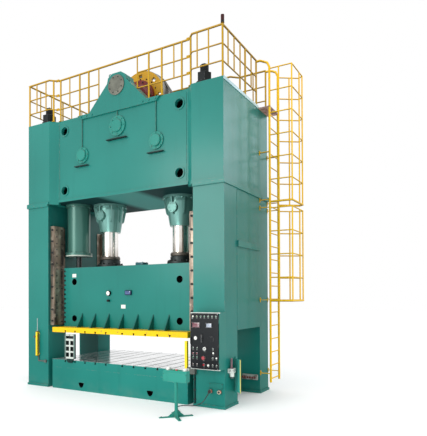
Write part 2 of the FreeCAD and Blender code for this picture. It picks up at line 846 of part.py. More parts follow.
housing = new_body("gear_housing")
lap, housing_back = 40, 685
apron = new_sketch(housing, "XZ", lap - bevel_start)
outline(apron, [(-1120, frame_height), (-1035, 6090), (1035, 6090), (1120, frame_height)])
pad(housing, apron, lap, True)
peak = new_sketch(housing, "XZ", lap - bevel_start)
outline(peak, [(-791, frame_height), (-263, 6718), (-235, 6830), (-120, 6905), (120, 6905),
               (235, 6830), (263, 6718), (791, frame_height)])
pad(housing, peak, lap - bevel_start - housing_back, True)
chamber = new_sketch(housing, "XZ", housing_back + 40)
outline(chamber, [(-715, 6160), (-715, 6190), (-228, 6700), (-200, 6810), (-105, 6870), (105, 6870),
                  (200, 6810), (228, 6700), (715, 6190), (715, 6160)])
pocket(housing, chamber, -1 * bevel_start - housing_back - 40, True)
bore = new_sketch(housing, "XZ", lap - bevel_start)
circle(bore, 0, drive_level, drive_journal + running_gap)
pocket(housing, bore, 400)
node(housing)

cover = new_body("gear_housing_cover")
place(cover, 0, 0, drive_level)
cover_face = bevel_start - lap
profile = new_sketch(cover, "XY")
outline(profile, [(0, cover_face - 34), (150, cover_face - 34), (190, cover_face - 26),
                  (215, cover_face - 20), (215, cover_face), (0, cover_face)])
turned(cover, profile)
node(cover)

centre_cap = new_body("centre_shaft_cap")
place(centre_cap, 0, 0, middle_level)
profile = new_sketch(centre_cap, "XY")
outline(profile, [(0, bevel_start - 66), (118, bevel_start - 66), (135, bevel_start - 54),
                  (135, bevel_start - 30), (215, bevel_start - 30), (215, bevel_start), (0, bevel_start)])
turned(centre_cap, profile)
bolt = new_sketch(centre_cap, "XZ", -1 * bevel_start + 30)
circle(bolt, 178, 0, 14)
head = pad(centre_cap, bolt, 14)
around(centre_cap, head, "Y", 8)
node(centre_cap)

lubricators = []
cap_tops = ((-1 * plunger_across, crank_level + 178), (size(0), size(middle_level + 215)),
            (plunger_across, crank_level + 178))
for across, level in cap_tops:
    tube = cylinder("oil_pipe", 9, 6090 - level, (across, bevel_start - 17, level))
    clip = box("oil_pipe_clip", (across - 14, across + 14), (bevel_start - 17, bevel_start),
               (6030, 6050))
    lubricators.append(fuse("oil_line", [tube, clip]))
node(group("oil_pipes", lubricators))


# ---------------------------------------------------------------- deck railings

def upright_bars(name, places, radius, low, high):
    """Round bars that stand side by side, from one level to another."""
    plan = doc.addObject("Sketcher::SketchObject", name + "_plan")
    bind(plan, "Placement.Base.z", low)
    for x, y in places:
        circle(plan, x, y, radius)
    bars = doc.addObject("Part::Extrusion", name)
    bars.Base = plan
    bars.DirMode = "Custom"
    bars.Dir = V(0, 0, 1)
    bars.Solid = True
    bind(bars, "LengthFwd", high - size(low))
    return bars


def pipe(name, path, radius):
    """A round tube that follows a path of points, with mitred corners."""
    spine = doc.addObject("Part::Polygon", name + "_line")
    spine.Nodes = path
    ring = doc.addObject("Part::Circle", name + "_ring")
    bind(ring, "Radius", radius)
    ring.Placement = FreeCAD.Placement(path[0], FreeCAD.Rotation(V(0, 0, 1), path[1] - path[0]))
    run = doc.addObject("Part::Sweep", name)
    run.Sections = [ring]
    run.Spine = (spine, [f"Edge{number + 1}" for number in range(len(path) - 1)])
    run.Solid = True
    run.Transition = "Right corner"
    return run


deck_level = frame_height.value
top_rail = deck_level + rail_height.value
middle_rail, low_rail = deck_level + 622, deck_level + 294
post_radius, rail_radius, bar_radius = 20, 20, 14


def railing(label, path, posts, balusters):
    """Three rails along a plan path, posts down to the deck and balusters between the rails."""
    pieces = [
        pipe("top_rail", [V(x, y, top_rail) for x, y in path], rail_radius),
        pipe("middle_rail", [V(x, y, middle_rail) for x, y in path], bar_radius),
        pipe("low_rail", [V(x, y, low_rail) for x, y in path], bar_radius),
        upright_bars("posts", posts, post_radius, frame_height, frame_height + rail_height),
        upright_bars("balusters", balusters, bar_radius, low_rail, top_rail),
    ]
    return fuse(label, pieces)


side_line, front_line, back_line = 2615, -1045, 1045
bend_across, middle_line, middle_end = 1950, -905, 1797

right_rails_path = [(middle_end + 15, middle_line - 14), (bend_across, front_line), (side_line, front_line),
                    (side_line, 512)]
right_rail_run = railing(
    "right_rail_run", right_rails_path,
    [(1880, -979), (side_line, front_line), (side_line, -51), (side_line, 512)],
    [(2065, front_line), (2315, front_line), (side_line, -820), (side_line, -561), (side_line, -289),
     (side_line, 249)],
)
beacon = cylinder("beacon", 34, 150, (side_line, front_line, top_rail + rail_radius + 0.2))
rear_corner = railing(
    "rear_corner", [(side_line, back_line), (2310, back_line), (bend_across + 15, back_line)],
    [(side_line, back_line), (bend_across + 30, back_line)],
    [(2310, back_line)],
)
node(group("right_railing", [right_rail_run, beacon, rear_corner]))

left_rail_run = railing(
    "left_railing",
    [(-middle_end - 15, middle_line - 14), (-bend_across, front_line), (-side_line, front_line),
     (-side_line, back_line), (-bend_across - 15, back_line)],
    [(-1880, -979), (-side_line, front_line), (-side_line, 0), (-side_line, back_line),
     (-bend_across - 30, back_line)],
    [(-2065, front_line), (-2371, front_line), (-side_line, -723), (-side_line, -378),
     (-side_line, 307), (-side_line, 680), (-2310, back_line)],
)
node(left_rail_run)

front_posts = [-1727, -1123, -849, 818, 1145, 1628]
front_bars = [-1437, -551, 519, 1438]
front_half = []
for name, low, high in (("front_left_run", -middle_end, -551), ("front_right_run", 519, middle_end)):
    front_half.append(railing(
        name, [(low, middle_line), (high, middle_line)],
        [(x, middle_line) for x in front_posts if low <= x <= high],
        [(x, middle_line) for x in front_bars if low <= x <= high],
    ))
bridge = pipe("bridge_rail", [V(-551, middle_line, top_rail), V(519, middle_line, top_rail)], rail_radius)
front_run = fuse("front_run", front_half + [bridge])
back_edge = 905
back_run = railing(
    "back_run",
    [(-bend_across, back_line), (-middle_end, back_edge), (middle_end, back_edge),
     (bend_across, back_line)],
    [(x, back_edge) for x in (-1727, -1150, -575, 0, 575, 1150, 1727)],
    [(x, back_edge) for x in (-1437, -860, -290, 290, 860, 1437)],
)
node(group("middle_railings", [front_run, back_run]))


# ---------------------------------------------------------------- ladder and its cage

ladder_line, ladder_front, ladder_back = 2885, 595, 1090
ladder_foot, stile_radius = 255, 24
stiles = []
for along, post in ((ladder_front, 512), (ladder_back, back_line)):
    stiles.append(pipe("stile", [
        V(ladder_line, along, ladder_foot), V(ladder_line, along, 6990), V(2840, along, 7085),
        V(2765, along, 7125), V(2705, post, 7125), V(side_line + post_radius, post, 7125),
    ], stile_radius))
rungs = []
for step in range(21):
    rungs.append(cylinder("rung", 12, ladder_back - ladder_front,
                          (ladder_line, ladder_front, 330 + rung_pitch * step), "Y"))
brackets = []
for level in (429, 2000, 3985, 4150, 5174):
    for along in (ladder_front, ladder_back - 50):
        brackets.append(box("ladder_bracket", (half_width, ladder_line), (along, along + 50),
                            (level, level + 12)))
landing = box("landing", (half_width, ladder_line + 20), (565, 1125), (6130, 6146))
node(fuse("ladder", stiles + rungs + brackets + [landing]))

cage_plan = [(ladder_line + stile_radius + 0.6, ladder_front), (3378, 607), (3380, 1285), (3290, 1350),
             (ladder_line + stile_radius, ladder_back + 10)]
cage_bars = [(3090, 600), (3378, 607), (3380, 1080), (3380, 1285), (3100, 1230)]


def cage(name, low, pitch, count):
    """Hoops bent round the climber and held apart by vertical bars."""
    hoops = []
    for step in range(count):
        radius = 22 if step == 0 else 13
        hoops.append(pipe("hoop", [V(x, y, low + pitch * step) for x, y in cage_plan], radius))
    bars = upright_bars("cage_bars", cage_bars, 16, low, low + pitch * (count - 1))
    return fuse(name, hoops + [bars])


node(group("ladder_cages", [cage("lower_cage", 1990, 494, 5), cage("upper_cage", 4100, 475, 7)]))


# ---------------------------------------------------------------- control panel

box_left, box_right, box_bottom, box_top = 2055, 2665, 745, 1793
box_front, door_front, door_thick = -1305, -1326, 20.5
cabinet = new_body("control_box")
shell = new_sketch(cabinet, "XZ", -1 * front)
rectangle(shell, (box_left, box_right), (box_bottom, box_top))
pad(cabinet, shell, front - box_front)
hollow = new_sketch(cabinet, "XZ", -1 * size(box_front))
rectangle(hollow, (box_left + 20, box_right - 20), (box_bottom + 20, box_top - 20))
pocket(cabinet, hollow, 210)
for level in (960, 1250, 1540):
    track = new_sketch(cabinet, "XZ", 1095)
    rectangle(track, (box_left + 60, box_right - 60), (level, level + 35))
    pad(cabinet, track, 10, False)
hinge_axis = (2659, -1316)
for level in (880, 1590):
    leaf = new_sketch(cabinet, "XY", level)
    rectangle(leaf, (hinge_axis[0] - 3, box_right), (hinge_axis[1], box_front))
    pad(cabinet, leaf, 70)
    barrel = new_sketch(cabinet, "XY", level)
    circle(barrel, hinge_axis[0], hinge_axis[1], 6)
    pad(cabinet, barrel, 70)
node(cabinet)

door = new_body("control_door")
leaf = new_sketch(door, "XZ", -1 * size(door_front))
rectangle(leaf, (2063, 2650), (760, 1778))
pad(door, leaf, door_thick, True)
proud_parts = ((2097, 2268, 1508, 1614, 10), (2395, 2519, 1515, 1602, 10), (2070, 2086, 1215, 1330, 26),
               (2430, 2545, 1275, 1355, 3))
for left, right, low, high, proud in proud_parts:
    bezel = new_sketch(door, "XZ", -1 * size(door_front))
    rectangle(bezel, (left, right), (low, high))
    pad(door, bezel, proud)
screens = new_sketch(door, "XZ", -1 * size(door_front) + 10)
rectangle(screens, (2107, 2258), (1518, 1604))
rectangle(screens, (2404, 2510), (1524, 1593))
pocket(door, screens, 5)
meter = new_sketch(door, "XZ", -1 * size(door_front))
circle(meter, 2178, 1321, 32)
pad(door, meter, 14)
collar = new_sketch(door, "XZ", -1 * size(door_front))
circle(collar, 2344, 963, 36)
circle(collar, 2352, 841, 25)
circle(collar, 2444, 835, 25)
circle(collar, 2364, 1133, 32)
pad(door, collar, 5)
stem_radius, stem_bore, stem_depth = 11, 11.5, 16
holes = new_sketch(door, "XZ", -1 * size(door_front) + 5)
for x, z in ((2344, 963), (2352, 841), (2444, 835), (2364, 1133)):
    circle(holes, x, z, stem_bore)
pocket(door, holes, stem_depth + 5)
node(door)

collar_face = door_front - 5


def push_button(label, x, z, head_radius, head_depth, travel):
    """A round head on a stem that slides in the door's bore."""
    button = new_body(label)
    place(button, x, 0, z)
    profile = new_sketch(button, "XY")
    face = collar_face - travel - 2
    outline(profile, [
        (0, face - head_depth), (head_radius * 0.8, face - head_depth),
        (head_radius, face - head_depth * 0.75), (head_radius, face), (stem_radius, face),
        (stem_radius, collar_face + 12), (0, collar_face + 12),
    ])
    turned(button, profile)
    return node(button)


push_button("emergency_stop", 2344, 963, 33, 22, 6)
push_button("stop_button", 2352, 841, 19, 10, 4)
push_button("start_button", 2444, 835, 19, 10, 4)

selector = new_body("mode_selector")
place(selector, 2364, 0, 1133)
profile = new_sketch(selector, "XY")
outline(profile, [(0, collar_face - 14), (28, collar_face - 14), (30, collar_face - 1),
                  (stem_radius, collar_face - 1), (stem_radius, collar_face + 12), (0, collar_face + 12)])
turned(selector, profile)
grip = new_sketch(selector, "XZ", -1 * size(collar_face) + 14)
rectangle(grip, (-7, 7), (-27, 27))
pad(selector, grip, 16)
node(selector)

bezels = []
lamp_places = [(2119 + 80.5 * k, 1720) for k in range(7)]
lamp_places += [(x, z) for x in (2119, 2203) for z in (1136, 1041, 967, 838)]
lamp_places += [(2538, 1137), (2544, 1060), (2530, 967), (2609, 970), (2530, 838), (2609, 838)]
lens = new_body("panel_lamp")
profile = new_sketch(lens, "XY")
outline(profile, [(0, -16), (9, -15), (13, -10), (13, -5), (17, -4), (17, 0), (0, 0)])
turned(lens, profile)
for x, z in lamp_places:
    lamp = doc.addObject("App::Link", "lamp")
    lamp.LinkedObject = lens
    place(lamp, x, door_front, z)
    bezels.append(lamp)
node(group("panel_lamps", bezels))


# ---------------------------------------------------------------- two-hand stand

stand_x, stand_y = 2133, -1920
stand_bottom, stand_top = 611, 803
foot = new_body("stand_frame")
place(foot, stand_x, stand_y, 0)
foot.Placement.Rotation = FreeCAD.Rotation(V(0, 0, 1), 45)
arm = new_sketch(foot, "XY")
outline(arm, [(0, -38), (300, -24), (300, 24), (0, 38)])
one = pad(foot, arm, 14)
around(foot, one, "Z", 4)
brace = new_sketch(foot, "XZ", -5)
outline(brace, [(0, 14), (150, 14), (30, 110), (0, 110)])
one = pad(foot, brace, 10)
around(foot, one, "Z", 4)
mast = new_sketch(foot, "XY")
circle(mast, 0, 0, 30)
pad(foot, mast, stand_bottom)
head_plate = new_sketch(foot, "XY", stand_bottom - 12)
circle(head_plate, 0, 0, 58)
pad(foot, head_plate, 12)
node(foot)

palm_across, palm_radius = 175, 36
console = new_body("stand_box")
place(console, stand_x, stand_y, 0)
side = new_sketch(console, "YZ", -240)
outline(side, [(-60, stand_bottom), (60, stand_bottom), (60, stand_top), (-30, stand_top),
               (-60, stand_top - 40)])
pad(console, side, 480)
collar = new_sketch(console, "XY", stand_top)
for across in (-palm_across, palm_across):
    circle(collar, across, 15, palm_radius + 6)
pad(console, collar, 8)
pilot = new_sketch(console, "XY", stand_top)
circle(pilot, -45, 15, 14)
circle(pilot, 0, 15, 22)
circle(pilot, 45, 15, 14)
pad(console, pilot, 16)
bore = new_sketch(console, "XY", stand_top + 8)
for across in (-palm_across, palm_across):
    circle(bore, across, 15, palm_radius - 9.5)
pocket(console, bore, 60)
node(console)

for label, across in (("left_palm_button", -palm_across), ("right_palm_button", palm_across)):
    palm = new_body(label)
    place(palm, stand_x + across, stand_y + 15, stand_top)
    profile = new_sketch(palm, "XZ")
    outline(profile, [
        (0, -36), (palm_radius - 10, -36), (palm_radius - 10, 20), (palm_radius, 20),
        (palm_radius, 34), (palm_radius - 9, 44), (0, 48),
    ])
    turned(palm, profile)
    node(palm)

cable_radius = 8
cable_route = [V(*point) for point in (
    (2350, -1118.2, 315), (2350, -1225, 251), (2270, -1230, 130), (2120, -1165, 45), (1960, -1130, 9),
    (1795, -1165, 9), (1740, -1320, 9), (1850, -1470, 9), (2000, -1600, 9), (2110, -1745, 9),
    (2133, -1815, 55), (2133, -1888.3, 70))]


def rounded_route(route):
    """Straight runs joined by tangent arcs; gives the edges, the length and the arcs' radii."""
    edges, radii, length = [], [], 0
    start = route[0]
    for before, corner, after in zip(route, route[1:], route[2:]):
        back_way = (before - corner).normalize()
        on_way = (after - corner).normalize()
        half = (math.pi - back_way.getAngle(on_way)) / 2
        shorter = min((corner - before).Length, (after - corner).Length)
        reach = 0.45 * shorter
        radius = reach / math.tan(half)
        first, last = corner + back_way * reach, corner + on_way * reach
        inward = (back_way + on_way).normalize()
        middle_point = corner + inward * (radius / math.cos(half) - radius)
        edges.append(Part.makeLine(start, first))
        edges.append(Part.Arc(first, middle_point, last).toShape())
        length += (first - start).Length + radius * 2 * half
        radii.append(round(radius, 1))
        start = last
    edges.append(Part.makeLine(start, route[-1]))
    return edges, length + (route[-1] - start).Length, radii


cable_edges, cable_length, cable_radii = rounded_route(cable_route)
cable_wire = Part.Wire(cable_edges)
ring = Part.Wire(Part.makeCircle(cable_radius, cable_route[0], cable_route[1] - cable_route[0]))
cable = doc.addObject("Part::Feature", "stand_cable")
cable.Shape = cable_wire.makePipeShell([ring], True, True)
node(cable)
print("cable length", round(cable_length), "arc radii", cable_radii, "volume ratio",
      round(cable.Shape.Volume / (math.pi * cable_radius ** 2 * cable_length), 4))


# ---------------------------------------------------------------- fittings on the frame

sockets = []
for x in (2350, 2540):
    flange_plate = box("socket_flange", (x - 42, x + 42), (front - 8, front), (273, 357))
    shell = cylinder("socket_shell", 33, 41, (x, front - 49, 315), "Y")
    sockets.append(fuse("socket", [flange_plate, shell]))
cover_plate = box("terminal_cover", (2325, 2605), (front - 16, front), (372, 470))
conduit = cylinder("conduit", 13, 550, (2006, front - 13, 52))
node(group("cable_sockets", sockets + [cover_plate, conduit]))

curtain_low, curtain_high = 701, 1288
sender = box("left_curtain", (-2305, -2255), (-1145, -1090), (curtain_low, curtain_high))
sender_feet = [box("left_curtain_foot", (-2300, -2260), (-1090, front), (z, z + 30))
               for z in (curtain_low + 40, curtain_high - 70)]
knob = cylinder("left_curtain_knob", 24, 45, (-2400, front - 45, 1150), "Y")
lead = pipe("left_lead", [V(-2280, -1080, 701), V(-2280, -1080, 592), V(-2050, -1080, 592)], 14)
receiver = box("right_curtain", (1820, 1870), (-1145, -1090), (620, 1233))
arm = box("right_curtain_arm", (1870, 2040), (-1145, front), (612, 730))
lead_box = box("lead_box", (-2075, -2015), (-1105, front), (562, 622))
node(group("light_curtain_bars", [
    fuse("left_bar", [sender] + sender_feet), knob, fuse("left_lead", [lead, lead_box]),
    fuse("right_bar", [receiver, arm]),
]))

guard = new_body("side_guard_door")
place(guard, guard_axis[0], guard_axis[1], guard_bottom)
guard.Placement.Rotation = FreeCAD.Rotation(V(0, 0, 1), -43)
for outline_points in ([(0, -5), (260, -5), (260, 5), (0, 5)], [(252, -12), (264, -12), (264, 5), (252, 5)]):
    leaf = new_sketch(guard, "XY")
    outline(leaf, outline_points)
    pad(guard, leaf, guard_top - guard_bottom)
barrel = new_sketch(guard, "XY")
circle(barrel, 0, 0, 7)
pad(guard, barrel, guard_top - guard_bottom)
node(guard)

filter_bowl = new_body("air_filter")
place(filter_bowl, half_width + 58, -870, 0)
profile = new_sketch(filter_bowl, "XZ")
outline(profile, [(0, 548), (34, 548), (42, 570), (42, 650), (48, 655), (48, 742), (0, 742)])
turned(filter_bowl, profile)
block = new_sketch(filter_bowl, "XY", 655)
rectangle(block, (-50, 40), (-75, 75))
pad(filter_bowl, block, 80)
riser = new_sketch(filter_bowl, "XY", 735)
circle(riser, 0, -20, 20)
pad(filter_bowl, riser, 190)
manifold = box("manifold", (2240, 2590), (540, window_back), (285, 395))
taps = [cylinder("tap", 18, 45, (2270 + 58 * k, 495, 340), "Y") for k in range(6)]
node(group("air_service_unit", [filter_bowl, fuse("window_manifold", [manifold] + taps)]))

prop = new_body("safety_prop")
plate_back = 4
rung_high, rung_step = 95, 132
panel = new_sketch(prop, "XZ", -1 * front + plate_back)
rectangle(panel, (-1404, -1094), (702, 1250))
rectangle(panel, (-1364, -1134), (1150, 1210))
pad(prop, panel, 36)
gaps = new_sketch(prop, "XZ", -1 * front + plate_back + 36)
for across in (-1364, -1229):
    rectangle(gaps, (across, across + 95), (742, 742 + rung_high))
gap = pocket(prop, gaps, 40)
in_line(prop, gap, "Z", size(rung_step), 3)
neck = new_sketch(prop, "XZ", -1 * front + plate_back)
outline(neck, [(-1364, 702), (-1150, 702), (-1160, 640), (-1345, 640)])
pad(prop, neck, 36)
tail = new_sketch(prop, "XZ", -1 * front)
outline(tail, [(-1345, 655), (-1160, 655), (-1200, 610), (-1300, 610)])
pad(prop, tail, 40)
fixing = new_sketch(prop, "XZ", -1 * front + 40)
circle(fixing, -1250, 645, 16)
pad(prop, fixing, 14)
node(prop)

slide_face = -1 * slide_half_depth
gauge = cylinder("pressure_gauge", 52, 44, (-402, slide_face - 44, 2165), "Y")
regulator = cylinder("regulator", 26, 60, (-402, slide_face - 60, 2000), "Y")
display = box("height_display", (68, 233), (slide_face - 40, slide_face), (2124, 2221))
plates = [box("plain_plate", (x - 60, x + 60), (slide_face - 4, slide_face), (z - 40, z + 40))
          for x, z in ((0, 1870), (-1457, 2582))]
node(group("slide_instruments", [gauge, regulator, display] + plates))


# ---------------------------------------------------------------- checks and files

doc.recompute()
faults = [item.Name for item in doc.Objects if {"Invalid", "Error"} & set(item.State)]
if faults:
    raise SystemExit("failed objects: " + ", ".join(faults))
os.makedirs("parts", exist_ok=True)
for item in NODES:
    if item.Shape.isNull() or not item.Shape.isValid():
        raise SystemExit("bad shape: " + item.Label)
    item.Shape.exportStep("parts/" + item.Label + ".step")
    print(item.Label, "solids", len(item.Shape.Solids), "volume", round(item.Shape.Volume / 1e9, 4))
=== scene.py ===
"""The press in its finish: paint, bare steel and small fittings on the fixed model."""

import math

import bmesh
import bpy
from mathutils import Matrix, Vector


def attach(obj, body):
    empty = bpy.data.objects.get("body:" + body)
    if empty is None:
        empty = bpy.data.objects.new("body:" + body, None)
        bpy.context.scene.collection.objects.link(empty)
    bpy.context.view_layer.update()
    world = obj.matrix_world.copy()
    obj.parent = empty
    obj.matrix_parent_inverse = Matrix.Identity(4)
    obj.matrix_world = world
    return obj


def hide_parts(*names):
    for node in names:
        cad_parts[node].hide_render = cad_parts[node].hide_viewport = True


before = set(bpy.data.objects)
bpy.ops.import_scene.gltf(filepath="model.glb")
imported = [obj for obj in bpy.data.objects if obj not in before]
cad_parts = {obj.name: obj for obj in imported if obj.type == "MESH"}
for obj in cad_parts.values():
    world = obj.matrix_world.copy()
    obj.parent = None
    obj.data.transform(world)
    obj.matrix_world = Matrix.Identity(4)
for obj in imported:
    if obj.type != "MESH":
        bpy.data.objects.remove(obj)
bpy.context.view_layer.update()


# ---------------------------------------------------------------- camera
# A camera at head height in front of the right-hand upright, held level so that the uprights stay
# parallel, with its lens raised until the deck railings are in the picture.

swing, tilt, lean = 0.514, 0.009, -0.004
eye = Vector((6.594, -8.726, 2.090))
level = Vector((math.cos(swing), math.sin(swing), 0))
ahead = Vector((-math.sin(swing) * math.cos(tilt), math.cos(swing) * math.cos(tilt), math.sin(tilt)))
upright = level.cross(ahead)
side = level * math.cos(lean) + upright * math.sin(lean)
top = upright * math.cos(lean) - level * math.sin(lean)
lens = bpy.data.cameras.new("camera")
lens.sensor_width = 36
lens.lens = 38.58
lens.shift_x, lens.shift_y = 0.0153, 0.1697
camera = bpy.data.objects.new("camera", lens)
bpy.context.scene.collection.objects.link(camera)
turn = Matrix((side, top, -ahead)).transposed().to_4x4()
camera.matrix_world = Matrix.Translation(eye) @ turn
bpy.context.scene.camera = camera


# ---------------------------------------------------------------- cable of the two-hand stand
# A rubber-sheathed control cable from the front socket down to the floor and in a loose bow to the
# stand's mast. It has a moulded plug at the socket and a screwed gland at the mast.

class Wire:
    """A socket of a material, worked with like a number; each step lays the node that it needs."""

    def __init__(self, tree, socket):
        self.tree = tree
        self.socket = socket

    def lay(self, kind, settings, inputs, out=0):
        """Any node: its type, its settings or ramp stops first, then what goes into its sockets."""
        made = self.tree.nodes.new("ShaderNode" + kind)
        for name, value in settings.items():
            if name == "stops":
                stops = made.color_ramp.elements
                stops.remove(stops[1])
                for number, (place, colour) in enumerate(value):
                    stop = stops.new(place) if number else stops[0]
                    stop.position = place
                    stop.color = (*colour, 1)
            elif name == "interpolation":
                made.color_ramp.interpolation = value
            else:
                setattr(made, name, value)
        for name, value in inputs.items():
            if isinstance(value, Wire):
                self.tree.links.new(value.socket, made.inputs[name])
            elif made.inputs[name].type == "RGBA":
                made.inputs[name].default_value = (*value, 1)
            else:
                made.inputs[name].default_value = value
        return Wire(self.tree, made.outputs[out] if len(made.outputs) else None)

    def sum(self, operation, *values):
        return self.lay("Math", {"operation": operation}, dict(enumerate(values)))

    def __add__(self, other):
        return self.sum("ADD", self, other)

    def __sub__(self, other):
        return self.sum("SUBTRACT", self, other)

    def __rsub__(self, other):
        return self.sum("SUBTRACT", other, self)

    def __mul__(self, other):
        return self.sum("MULTIPLY", self, other)

    def __gt__(self, other):
        return self.sum("GREATER_THAN", self, other)

    def __lt__(self, other):
        return self.sum("LESS_THAN", self, other)

    def __abs__(self):
        return self.sum("ABSOLUTE", self)

    __radd__ = __add__
    __rmul__ = __mul__

    def either(self, other):
        """The stronger of two masks."""
        return self.sum("MAXIMUM", self, other)

    def fade(self, low, high):
        """0 below low, 1 above high and a straight ramp between them."""
        return self.lay("MapRange", {}, {"Value": self, "From Min": low, "From Max": high})

    def blend(self, first, second):
        """The first colour where this mask is 0, the second where it is 1."""
        return self.lay("Mix", {"data_type": "RGBA"}, {0: self, 6: first, 7: second}, 2)

    def bands(self, *stops):
        """Flat bands of colour, each from its own start between 0 and 1."""
        return self.lay("ValToRGB", {"interpolation": "CONSTANT", "stops": stops}, {"Fac": self})

    def along(self, axis):
        """One part of a place or a direction."""
        return self.lay("SeparateXYZ", {}, {"Vector": self}, axis)

    def axes(self):
        """The three parts of a place, each on its own."""
        return self.along("X"), self.along("Y"), self.along("Z")

    def near(self, centre, reach):
        """1 within this reach of a centre and 0 beyond it."""
        return abs(self - centre) < reach

    def facing(self):
        """The way the surface looks."""
        return self.lay("NewGeometry", {}, {}, "Normal")

    def distance(self, centre):
        """How far this place is from a centre."""
        return self.lay("VectorMath", {"operation": "DISTANCE"}, {0: self, 1: centre}, "Value")

    def stretch(self, *factors):
        """The place drawn out along its axes, which makes noise finer along them."""
        return self.lay("VectorMath", {"operation": "MULTIPLY"}, {0: self, 1: factors})

    def cloud(self, grain, detail):
        """Soft noise whose patches are about 1/grain metres wide."""
        return self.lay("TexNoise", {}, {"Vector": self, "Scale": grain, "Detail": detail})


def start(name):
    """A new material, and the place on the piece as a wire."""
    material = bpy.data.materials.new(name)
    material.use_nodes = True
    material.node_tree.nodes.clear()
    place = Wire(material.node_tree, None).lay("TexCoord", {}, {}, "Object")
    return material, place


def coat(place, colour, roughness, relief, depth, metal=0.0, **fixed):
    """Join colour, gloss, metal and relief into the surface that shows."""
    bump = place.lay("Bump", {}, {"Height": relief, "Distance": depth})
    inputs = {"Base Color": colour, "Roughness": roughness, "Metallic": metal, "Normal": bump}
    inputs.update({name.replace("_", " "): value for name, value in fixed.items()})
    place.lay("OutputMaterial", {}, {"Surface": place.lay("BsdfPrincipled", {}, inputs)})


def tone(red, green, blue):
    """A colour from everyday 0-255 numbers."""
    return tuple(((part / 255 + 0.055) / 1.055) ** 2.4 if part > 10 else part / 3294
                 for part in (red, green, blue))


def rubber(name, colour, worn):
    """Matt rubber or soft plastic with dust in its grain and scuffs."""
    material, place = start(name)
    dust = place.cloud(9, 4).fade(0.45, 0.75)
    scuff = place.cloud(60, 3).fade(0.6, 0.7) * 0.5
    colour = scuff.blend((dust * 0.6).blend(colour, worn), worn)
    coat(place, colour, 0.62 + dust * 0.2, place.cloud(420, 2), 0.0004)
    return material


def show(name, item, body, material):
    """Put a finished mesh or curve on its body, with its finish."""
    piece = bpy.data.objects.new(name, item)
    item.materials.append(material)
    bpy.context.scene.collection.objects.link(piece)
    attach(piece, body)
    return piece


def solid(name, shape, body, material):
    """Turn a bmesh into a piece whose edges stay crisp and whose rounds are smooth."""
    mesh = bpy.data.meshes.new(name)
    bmesh.ops.recalc_face_normals(shape, faces=shape.faces)
    shape.to_mesh(mesh)
    shape.free()
    mesh.shade_smooth()
    mesh.set_sharp_from_angle(angle=math.radians(35))
    return show(name, mesh, body, material)


FACING = {"Z": Matrix.Identity(4), "-Z": Matrix.Rotation(math.pi, 4, "X"),
          "-Y": Matrix.Rotation(math.pi / 2, 4, "X"), "Y": Matrix.Rotation(-math.pi / 2, 4, "X"),
          "X": Matrix.Rotation(math.pi / 2, 4, "Y"), "-X": Matrix.Rotation(-math.pi / 2, 4, "Y")}


def lathe(shape, profile, centre, facing="Z", steps=28):
    """Turn a profile of (radius, height) points round an axis that faces one way."""
    move = Matrix.Translation(centre) @ FACING[facing]
    rings = []
    for radius, height in profile:
        if radius < 1e-6:
            rings.append([shape.verts.new(move @ Vector((0, 0, height)))])
            continue
        rings.append([shape.verts.new(move @ Vector((
            radius * math.cos(2 * math.pi * step / steps), radius * math.sin(2 * math.pi * step / steps),
            height))) for step in range(steps)])
    for low, high in zip(rings, rings[1:]):
        for step in range(steps):
            after = (step + 1) % steps
            corners = [low[step % len(low)], low[after % len(low)],
                       high[after % len(high)], high[step % len(high)]]
            shape.faces.new(list(dict.fromkeys(corners)))


socket_across, spare_across, socket_level = 2.350, 2.540, 0.315
mast_across, gland_level = 2.133, 0.070
floor_level = 0.009
cable_radius = 0.008
cable_route = [(socket_across, -1.1182, socket_level), (socket_across, -1.225, 0.251),
               (2.270, -1.230, 0.130), (2.120, -1.165, 0.045), (1.960, -1.130, floor_level),
               (1.795, -1.165, floor_level), (1.740, -1.320, floor_level), (1.850, -1.470, floor_level),
               (2.000, -1.600, floor_level), (2.110, -1.745, floor_level),
               (mast_across, -1.815, 0.055), (mast_across, -1.8883, gland_level)]
cable_line = bpy.data.curves.new("cable", "CURVE")
cable_line.dimensions = "3D"
cable_line.bevel_depth = cable_radius
cable_line.bevel_resolution = 4
cable_line.use_fill_caps = True
run = cable_line.splines.new("NURBS")
run.points.add(len(cable_route) - 1)
for point, place in zip(run.points, cable_route):
    point.co = (*place, 1)
run.order_u = 3
run.use_endpoint_u = True
run.resolution_u = 20
cable_black = rubber("cable_rubber", tone(34, 34, 36), tone(92, 90, 84))
cable = show("cable", cable_line, "frame", cable_black)
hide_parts("stand_cable")

plug = bmesh.new()
lathe(plug, [(0.0, -0.002), (0.030, -0.002), (0.032, 0.004), (0.032, 0.022), (0.026, 0.026),
             (0.022, 0.028), (0.021, 0.040), (0.017, 0.043), (0.016, 0.052), (0.0135, 0.054),
             (0.012, 0.062), (0.0, 0.062)], (socket_across, -1.1145, socket_level), "-Y")
plug = solid("cable_plug", plug, "frame", cable_black)
gland = bmesh.new()
lathe(gland, [(0.0, 0.0), (0.019, 0.0), (0.019, 0.012), (0.016, 0.014), (0.016, 0.028), (0.012, 0.034),
              (0.0095, 0.040), (0.0, 0.040)], (mast_across, -1.889, gland_level), "-Y", 12)
gland = solid("cable_gland", gland, "frame", cable_black)


# ---------------------------------------------------------------- bed
# One welded box of thick plate, stress-relieved and planed, then primed and sprayed in a satin
# blue-green enamel. Two flame-cut pockets low in the front wall take the rigging hooks.

def worn_edge(place, radius):
    """Where the surface turns over an edge within this radius."""
    rounded = place.lay("Bevel", {"samples": 4}, {"Radius": radius})
    agree = place.lay("VectorMath", {"operation": "DOT_PRODUCT"},
                      {0: rounded, 1: place.facing()}, "Value")
    return (1 - agree).fade(0.01, 0.12)


press_green = tone(20, 115, 106)
primer_grey = tone(128, 124, 116)


